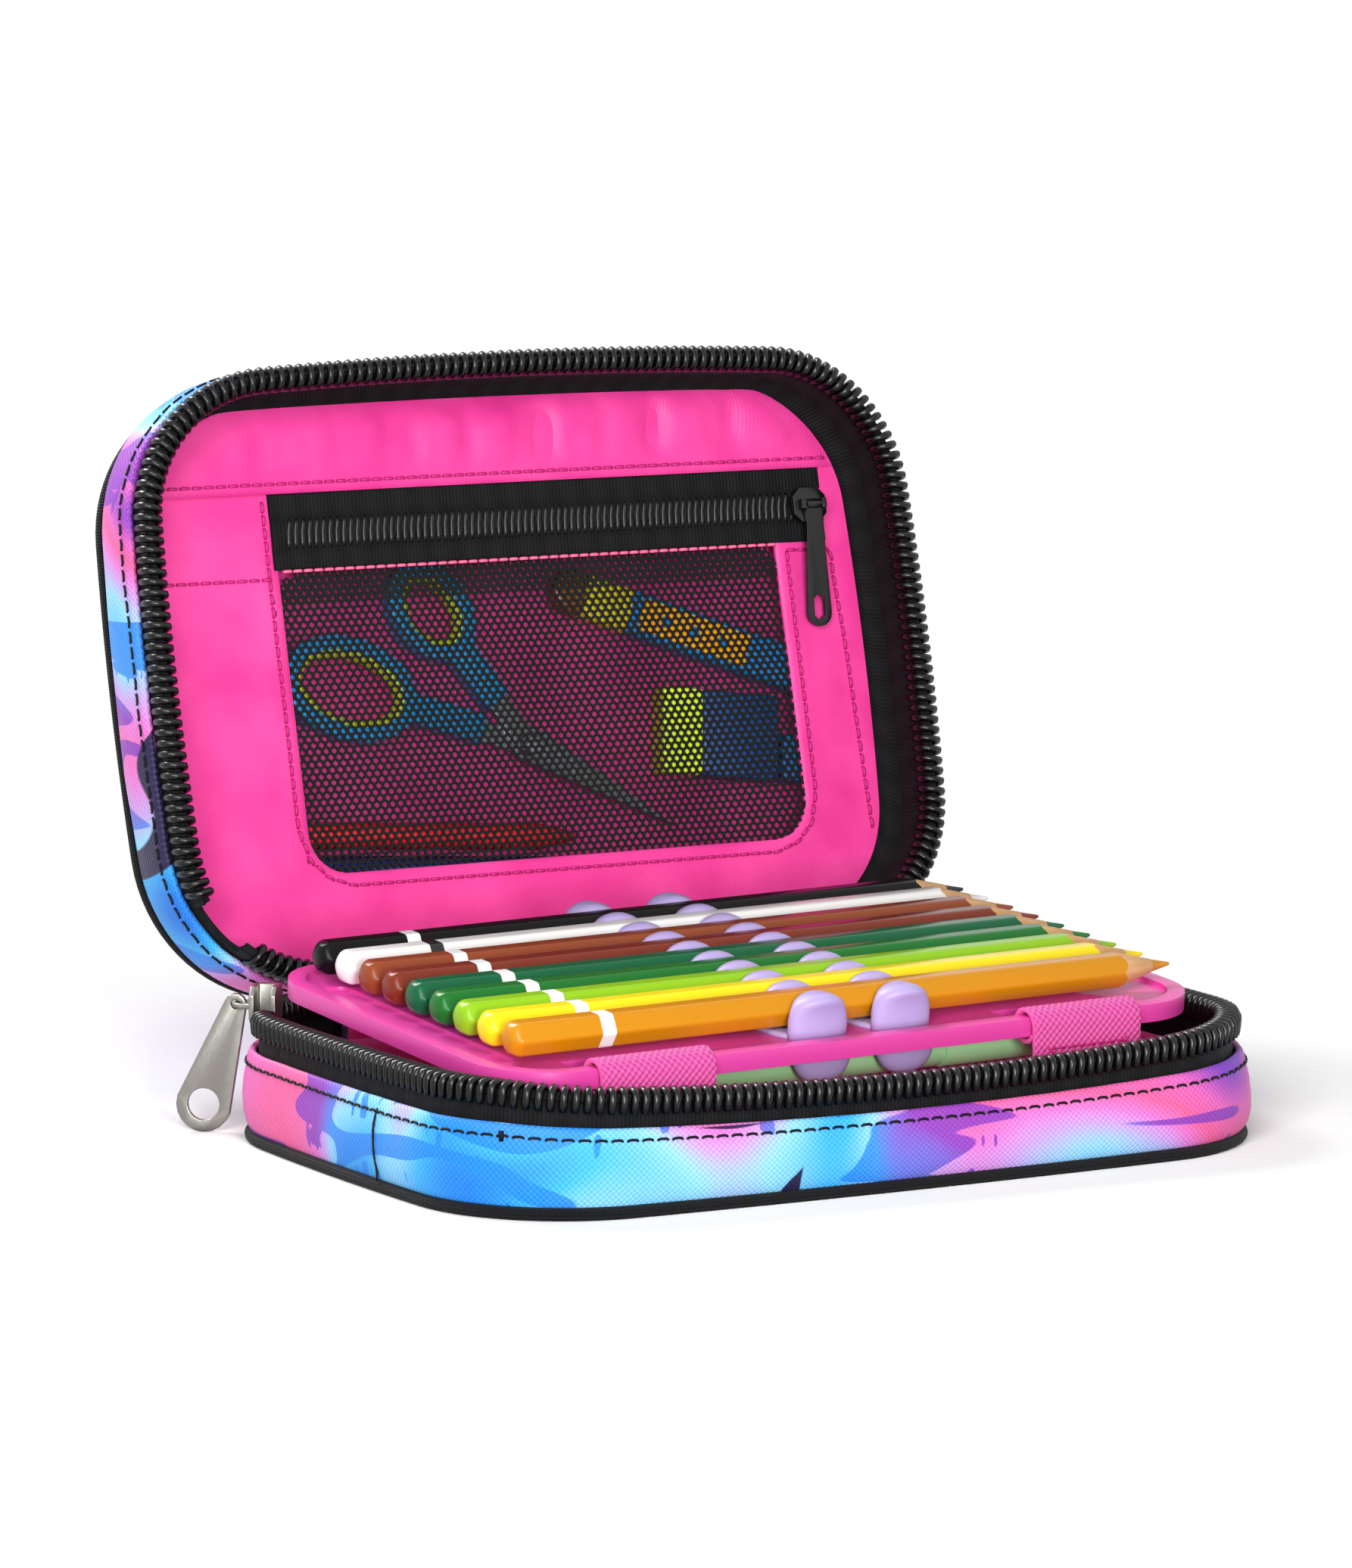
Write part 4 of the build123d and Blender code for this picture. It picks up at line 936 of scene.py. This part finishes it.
lines.append([(cut_start + (4.36 - w) / cut_slope + 0.05, w - 0.12, CEDAR) for w in wide])
for left, r in ((5.6, 1.62), (5.5, 1.5), (1.0, 0.55), (0.25, 0.38), (0.0, 0.12)):
    lines.append([(PENCIL_LENGTH - left, r, LEAD if r < 1.6 else CEDAR) for _ in wide])
pencil_rings = [[Vector((x, math.cos(t) * r, math.sin(t) * r)) for t, (x, r, _) in zip(round_pencil, line)]
                for line in lines]
kinds = [line[0][2] for line in lines]
pencil_slots = [CEDAR if (one, two) == (CEDAR, LEAD) else (one if one == two else CASING)
                for one, two in zip(kinds, kinds[1:]) for _ in wide] + [CASING, LEAD]
for number, (name, text, ring_text) in enumerate(pencil_looks):
    gleam = 0.15 if name == "black" else 0.28
    finishes = (plain(f"{name}_pencil_lacquer", text, 0.24, grain=0.04, grain_size=150.0, specular=gleam),
                plain(f"{name}_pencil_ring_paint", ring_text, 0.25), bare_cedar,
                plain(f"{name}_pencil_lead", text, 0.55, grain=0.2, grain_size=900.0))
    spot = tray_place @ Matrix.Translation(Vector((-84.0, 14.0 + PENCIL_PITCH * number, 6.53)) * MM)
    pencil = capped(f"{name}_pencil", [pencil_rings], spot, finishes[0])
    for extra in finishes[1:]:
        pencil.data.materials.append(extra)
    pencil.data.polygons.foreach_set("material_index", pencil_slots)
    pencil.data.set_sharp_from_angle(angle=math.radians(50))
    keep(pencil, f"pencil_{name}", f"lacquer_{name}", f"pencil_{name}")

# FELT-TIP MARKERS
# Six slim markers under the tray and a loose one in front of it: a polypropylene barrel with an end
# plug, and a cap whose joint shows as a fine ring.
marker_looks = (
    ("light_green", "#b4f2b0"), ("yellow_green", "#c9d63c"), ("turquoise", "#22b3b0"),
    ("blue", "#2b4fc4"), ("violet", "#6f3fae"), ("red", "#d52a33"),
)


def felt_tip(name, place, text, body_length, cap_length, body, slot, node):
    """One marker along x, as rings from the plug to the end of the cap."""
    finish = plain(f"{name}_polypropylene", text, 0.3, grain=0.05, grain_size=120.0)
    total = body_length + cap_length
    stations = ((0.0, 2.6), (0.25, 3.1), (3.0, 3.5), (3.1, 3.85), (3.6, 4.0), (body_length - 2.2, 4.0),
                (body_length - 2.0, 3.7), (body_length - 0.4, 3.7), (body_length - 0.3, 4.2),
                (body_length, 4.28), (total - 4.5, 4.28), (total - 2.4, 4.1), (total - 0.9, 3.5),
                (total - 0.2, 2.6), (total, 1.4))
    rings = [[Vector((x, math.cos(t) * r, math.sin(t) * r)) for t in turns(32)] for x, r in stations]
    made = capped(name, [rings], place, finish)
    made.data.set_sharp_from_angle(angle=math.radians(35))
    keep(made, body, slot, node)


for number, (name, text) in enumerate(marker_looks):
    spot = tray_place @ Matrix.Translation(Vector((-64.0, MARKER_FIRST + MARKER_PITCH * number, -6.5)) * MM)
    felt_tip(f"{name}_felt_tip", spot, text, 92.0, 40.0, f"marker_{name}", f"marker_{name}", f"marker_{name}")
spot = Matrix.Translation(Vector((-40.0, -60.2, 6.75)) * MM)
felt_tip("loose_yellow_felt_tip", spot, "#ffe21a", 84.0, 36.0,
         "marker_yellow_loose", "marker_yellow", "marker_yellow_loose")

# LID POCKET
# One piece of the pink twill lies across the lid and is sewn in all round, a little loose. Its window
# holds a black knitted net, and a finer coil zip closes the slot above the window.
# Rounded rectangles are given by their middle, half sizes and corner radius.
POCKET_DROP = 19.4
OPENING = (7.0, -71.5, 67.6, 44.5, 10.0)
POCKET_RIM = (0.0, -73.0, 100.7, 69.7, 34.0)
NET_EDGE = (7.0, -62.5, 69.5, 37.5, 12.0)
opening_centre = Vector(OPENING[:2])


def rounded(x, y, centre_x, centre_y, half_x, half_y, corner):
    """How far a point lies outside a rounded rectangle."""
    dx, dy = abs(x - centre_x) - half_x + corner, abs(y - centre_y) - half_y + corner
    return math.hypot(max(dx, 0), max(dy, 0)) + min(max(dx, dy), 0) - corner


def to_edge(target):
    """The point where a ray from the opening's middle meets the opening's edge."""
    low, high = 0.0, 1.0
    for _ in range(24):
        middle = (low + high) / 2
        p = opening_centre.lerp(target, middle)
        low, high = (middle, high) if rounded(p.x, p.y, *OPENING) < 0 else (low, middle)
    return opening_centre.lerp(target, high)


def folds(*layers):
    """Loose folds as a sum of noises: where in the noise, and how high."""
    return sum(noise.noise(Vector(spot)) * high for spot, high in layers)


def pocket_level(x, y):
    """How deep the pocket's cloth lies in the lid at one place, with its loose folds between the seams."""
    loose = folds(((x * 0.03, y * 0.03, 3.0), 1.3), ((x * 0.09, y * 0.05, 9.0), 0.45))
    from_rim = -rounded(x, y, *POCKET_RIM)
    from_window = rounded(x, y, *OPENING)
    return POCKET_DROP + (loose + 0.4) * ease((from_rim - 5) / 9) * ease(from_window / 8)


rim = outline("lid", POCKET_DROP, 3.3)
inner = [to_edge(p) for p in rim]
rows = []
for ring_number in range(22):
    share = (ring_number / 21) ** 1.15
    spots = [a.lerp(b, share) for a, b in zip(rim, inner)]
    rows.append([put("lid", p.x, p.y, pocket_level(p.x, p.y)) for p in spots])
rows.append([put("lid", *opening_centre.lerp(p, 0.996), POCKET_DROP + 0.7) for p in inner])
pocket = skin("pocket_front", rows, pink_nylon, closed=True)
sheet(pocket, 0.0005, 0.0, "lid", "pink_lining", "pocket_panel")


def half_width(h):
    """Half the lid's inner width at a height above the hinge, on the pocket's level."""
    side = [p for p in rim if p.x > 0]
    for a, b in zip(side, side[1:]):
        if -a.y <= h <= -b.y:
            return a.x + (b.x - a.x) * (h + a.y) / (a.y - b.y + 1e-9)
    return side[-1].x


# The band over the zip: a second layer of the twill with a folded lower edge and a few soft pleats.
CREASES = ((-31, 0.7), (-9, 1.2), (13, 1.5), (29, 1.1), (43, 1.7), (64, 1.2))
BAND_LOW, BAND_HIGH = 117.4, 142.2
band_rows = []
for row_number in range(19):
    h = BAND_LOW + (BAND_HIGH - BAND_LOW) * math.sin(math.pi / 2 * row_number / 18)
    wide = half_width(h) - 2.8
    row = []
    for k in range(111):
        x = -wide + 2 * wide * k / 110
        pleats = folds(((x * 0.085, h * 0.012, 2.0), 1.5), ((x * 0.2, h * 0.03, 7.0), 0.5))
        hold = ease(row_number / 5) * ease((138 - h) / 7) * ease((wide - 5 - abs(x)) / 12)
        lift = 0.75 * ease((140 - h) / 4) * ease((wide - 1 - abs(x)) / 5)
        leant = x - 0.12 * (h - 120)
        creases = sum(deep * math.exp(-((leant - middle) / 3.2) ** 2) for middle, deep in CREASES)
        row.append(on_lid(x, h, POCKET_DROP - lift - (0.9 + pleats - creases) * hold))
    band_rows.append(row)
band = skin("pocket_top_band", band_rows, pink_nylon)
sheet(band, 0.0007, 0.0, "lid", "pink_lining")


def seam_line(corners, step=2.5):
    """Points along straight stretches between corners, in the lid's own millimetres."""
    spots = []
    for (x0, h0), (x1, h1) in zip(corners, corners[1:]):
        count = max(1, int(math.hypot(x1 - x0, h1 - h0) / step))
        spots += [(x0 + (x1 - x0) * k / count, h0 + (h1 - h0) * k / count) for k in range(count)]
    return [on_lid(x, h, pocket_level(x, -h) - 0.6) for x, h in spots + [corners[-1]]]


BAND_SEAM = 119.6
seam_x = [(half_width(BAND_SEAM) - 6) * k / 32 for k in range(-32, 33)]
for name, line in (
    ("band_seam", [on_lid(x, BAND_SEAM, POCKET_DROP - 1.42) for x in seam_x]),
    ("window_seam", seam_line(((-63.0, 116.0), (-63.0, 38.0), (-60.6, 30.5), (-56.0, 26.2), (-50.0, 24.2),
                               (64.5, 24.2), (70.5, 26.2), (75.0, 30.5), (77.2, 38.0), (77.2, 97.5)))),
    ("left_column_seam", seam_line(((-97.0, 97.3), (-62.0, 97.3)))),
    ("right_column_seam", seam_line(((77.2, 97.5), (89.5, 97.5), (91.0, 60.0), (92.0, 28.0)))),
):
    sewn(name, line, 0.0031, pink_thread, MOUTH["lid"], "lid", "pink_lining")

# Net: black knitted mesh with hexagonal holes, 2.1 mm apart in rows of 1.5 mm, denser at the top.
black_net_yarn = plain("black_net_yarn", "#0b0b0c", 0.6, grain=0.5, grain_size=2500.0, specular=0.2)
NET_PITCH, NET_ROW, NET_OPEN, NET_DENSE, NET_DENSE_ABOVE = 2.1, 1.5, 0.65, 0.47, 91.5
NET_LEFT, NET_LOW, NET_COLUMNS, NET_ROWS = -61.5, 26.2, 66, 49
high_corner = NET_ROW / 2 + NET_PITCH ** 2 / (8 * NET_ROW)
low_corner = NET_ROW - high_corner
HEXAGON = [(0, high_corner), (NET_PITCH / 2, low_corner), (NET_PITCH / 2, -low_corner),
           (0, -high_corner), (-NET_PITCH / 2, -low_corner), (-NET_PITCH / 2, low_corner)]
vertices, faces, known = [], [], {}


def net_point(x, h):
    """The index of one corner of the net, shared where cells meet."""
    key = (round(x, 3), round(h, 3))
    if key not in known:
        known[key] = len(vertices)
        give = folds(((x * 0.05, h * 0.05, 5.0), 0.7))
        vertices.append(on_lid(x, h, POCKET_DROP + 0.35 + give))
    return known[key]


for row_number in range(NET_ROWS):
    h = NET_LOW + row_number * NET_ROW
    open_share = NET_DENSE if h > NET_DENSE_ABOVE else NET_OPEN
    for column in range(NET_COLUMNS):
        x = NET_LEFT + (column + (row_number % 2) / 2) * NET_PITCH
        if rounded(x, -h, *NET_EDGE) > 0:
            continue
        outer = [net_point(x + a, h + b) for a, b in HEXAGON]
        hole = [net_point(x + a * open_share, h + b * open_share) for a, b in HEXAGON]
        faces += [(outer[k], outer[(k + 1) % 6], hole[(k + 1) % 6], hole[k]) for k in range(6)]
net = linked("window_net", mesh_of("window_net", vertices, faces, black_net_yarn))
sheet(net, 0.00035, 0.0, "lid", "black_net", "pocket_mesh")

bright_thread = plain("coral_pink_thread", "#ff6f9c", 0.5)
net_seam = [p + MOUTH["lid"] * 0.0009 for p in seam_line(((-60.0, 98.9), (74.0, 98.9)))]
sewn("net_top_seam", net_seam, 0.0027, bright_thread, MOUTH["lid"], "lid", "black_net")

# Pocket zip: knitted tape, an 8 mm coil with loops 1.8 mm apart, and a black painted slider and pull.
POCKET_COIL_PITCH, POCKET_COIL_HEIGHT, POCKET_COIL_START, POCKET_COIL_LOOPS = 1.8, 108.0, -57.0, 77
tape_rows = []
for h in (99.4, 100.0, 101.4, 104.2, 104.5, 111.5, 111.8, 114.0, 116.6, 118.2):
    lift = 0.55 if abs(h - POCKET_COIL_HEIGHT) < 3.6 else 0.25
    tape_rows.append([on_lid(-61.5 + 2 * k, h, POCKET_DROP - lift) for k in range(76)])
pocket_tape = skin("pocket_zip_knit_tape", tape_rows, black_tape)
sheet(pocket_tape, 0.0005, 0.0, "lid", "black_webbing", "pocket_zip_tape")
legs = [(-0.35, -3.4, -0.5), (-0.3, -3.25, 0.05), (-0.15, -2.0, 0.34), (0.15, 0.0, 0.05), (0.45, 2.0, 0.34),
        (0.6, 3.25, 0.05), (0.65, 3.4, -0.5)]
small_loop = tube("small_coil_loop", [Vector(p) * MM for p in legs], 0.00066, black_nylon, 8, closed=False,
                  up=Vector((1, 0, 0.01)))
places = [POCKET_COIL_START + POCKET_COIL_PITCH * k for k in range(POCKET_COIL_LOOPS)]
spots = [on_lid(x, POCKET_COIL_HEIGHT, POCKET_DROP - 0.32) for x in places]
coil_row = row_of("pocket_coil_row", small_loop, [spots], MOUTH["lid"], black_nylon)
bpy.data.objects.remove(small_loop)
keep(coil_row, "lid", "black_coil", "pocket_zip_coil")
black_paint = plain("black_painted_zinc", "#0e0e10", 0.24, grain=0.08, grain_size=300.0)
softened("pocket_zip_slider", "pocket_slider", black_paint, "pocket_slider", "black_metal", 0.0004)
softened("pocket_zip_pull", "pocket_pull_tab", black_paint, "pocket_pull", "black_metal", 0.00035)

# POCKET CONTENTS
# Small school things behind the net: scissors with blue handles, a barrel-shaped tool, two erasers
# and two pens. They are the CAD solids with rounded edges.
ground_steel = plain("ground_steel", "#8a8e93", 0.28, metal=1.0, grain=0.15, grain_size=700.0)
cyan_abs = plain("blue_abs_handle", "#1f9ce4", 0.3)
soft_insert = plain("yellow_green_elastomer", "#d9e62c", 0.5)
striped_barrel, tree = material("striped_polystyrene_barrel")
TOOL_TURN = math.radians(21)
tool_x, tool_y = math.cos(TOOL_TURN), math.sin(TOOL_TURN)
tool_run = Vector((tool_x, math.cos(LEAN) * tool_y, -math.sin(LEAN) * tool_y))
along = add(tree, "ShaderNodeVectorMath", {0: object_space(tree), 1: tool_run}, operation="DOT_PRODUCT")
tool_middle = tool_run.dot(on_lid(50.0, 79.0, 24.0))
share = ranged(tree, along.outputs["Value"], {1: tool_middle - 0.039, 2: tool_middle + 0.039})
stripes = ((0.0, "#7a4a1c"), (0.11, "#e0cf1c"), (0.27, "#1b6fc0"), (0.28, "#1b86d6"))
bands = ramped(tree, share, stripes, "CONSTANT")
surface(tree, {"Base Color": bands, "Roughness": 0.3})
for name, node, finish, slot, body, bevel in (
    ("lower_scissor_blade", "scissors_blade_lower", ground_steel, "steel", "lid", 0.0002),
    ("upper_scissor_blade", "scissors_blade_upper", ground_steel, "steel", "scissors_half", 0.0002),
    ("large_scissor_bow", "scissors_handle_large", cyan_abs, "cyan_plastic", "lid", 0.0012),
    ("small_scissor_bow", "scissors_handle_small", cyan_abs, "cyan_plastic", "scissors_half", 0.0012),
    ("scissor_rivet", "scissors_rivet", ground_steel, "steel", "lid", 0.0003),
    ("tool_striped_barrel", "tool_barrel", striped_barrel, "grey_plastic", "lid", 0.0014),
    ("tool_brown_end", "tool_band", ("brown_abs", "#7a4a1c", 0.3), "blue_plastic", "lid", 0.0014),
    ("tool_amber_plate", "tool_plate", ("amber_acrylic", "#f2a516", 0.2), "amber_plastic", "lid", 0.0002),
    ("navy_eraser_block", "eraser_block", ("navy_vinyl", "#18427f", 0.45), "navy_plastic", "lid", 0.0009),
    ("lime_eraser_band", "eraser_block_band", ("lime_card", "#d2ea2c", 0.5), "lime_plastic", "lid", 0.0007),
    ("small_white_eraser", "small_eraser", ("white_vinyl_rubber", "#f4f4f0", 0.6), "white_rubber", "lid",
     0.0008),
    ("small_eraser_sleeve_card", "small_eraser_sleeve", ("blue_card", "#1769b0", 0.5), "blue_plastic", "lid",
     0.0004),
    ("navy_pen", "pen_navy", ("navy_polystyrene", "#1b1f5c", 0.25), "navy_plastic", "lid", 0.0004),
    ("red_pen", "pen_red", ("red_polystyrene", "#d3232f", 0.25), "red_plastic", "lid", 0.0004),
):
    softened(name, node, plain(*finish) if isinstance(finish, tuple) else finish, body, slot, bevel)
RIVET_X, RIVET_Y, BOW_DROP = 3.0, -55.0, 24.5
for name, turn, distance, length, width, body in (
    ("large", 199.0, 49.0, 28.8, 17.8, "lid"), ("small", 236.0, 40.0, 18.8, 13.8, "scissors_half"),
):
    a = math.radians(turn)
    path = []
    for t in turns(40):
        u, v = distance + length / 2 * math.cos(t), width / 2 * math.sin(t)
        x, y = u * math.cos(a) - v * math.sin(a), u * math.sin(a) + v * math.cos(a)
        path.append(put("lid", RIVET_X + x, RIVET_Y + y, BOW_DROP))
    insert = tube(f"{name}_bow_insert", path, 0.0021, soft_insert, 10, up=lid_back)
    keep(insert, body, "lime_plastic")
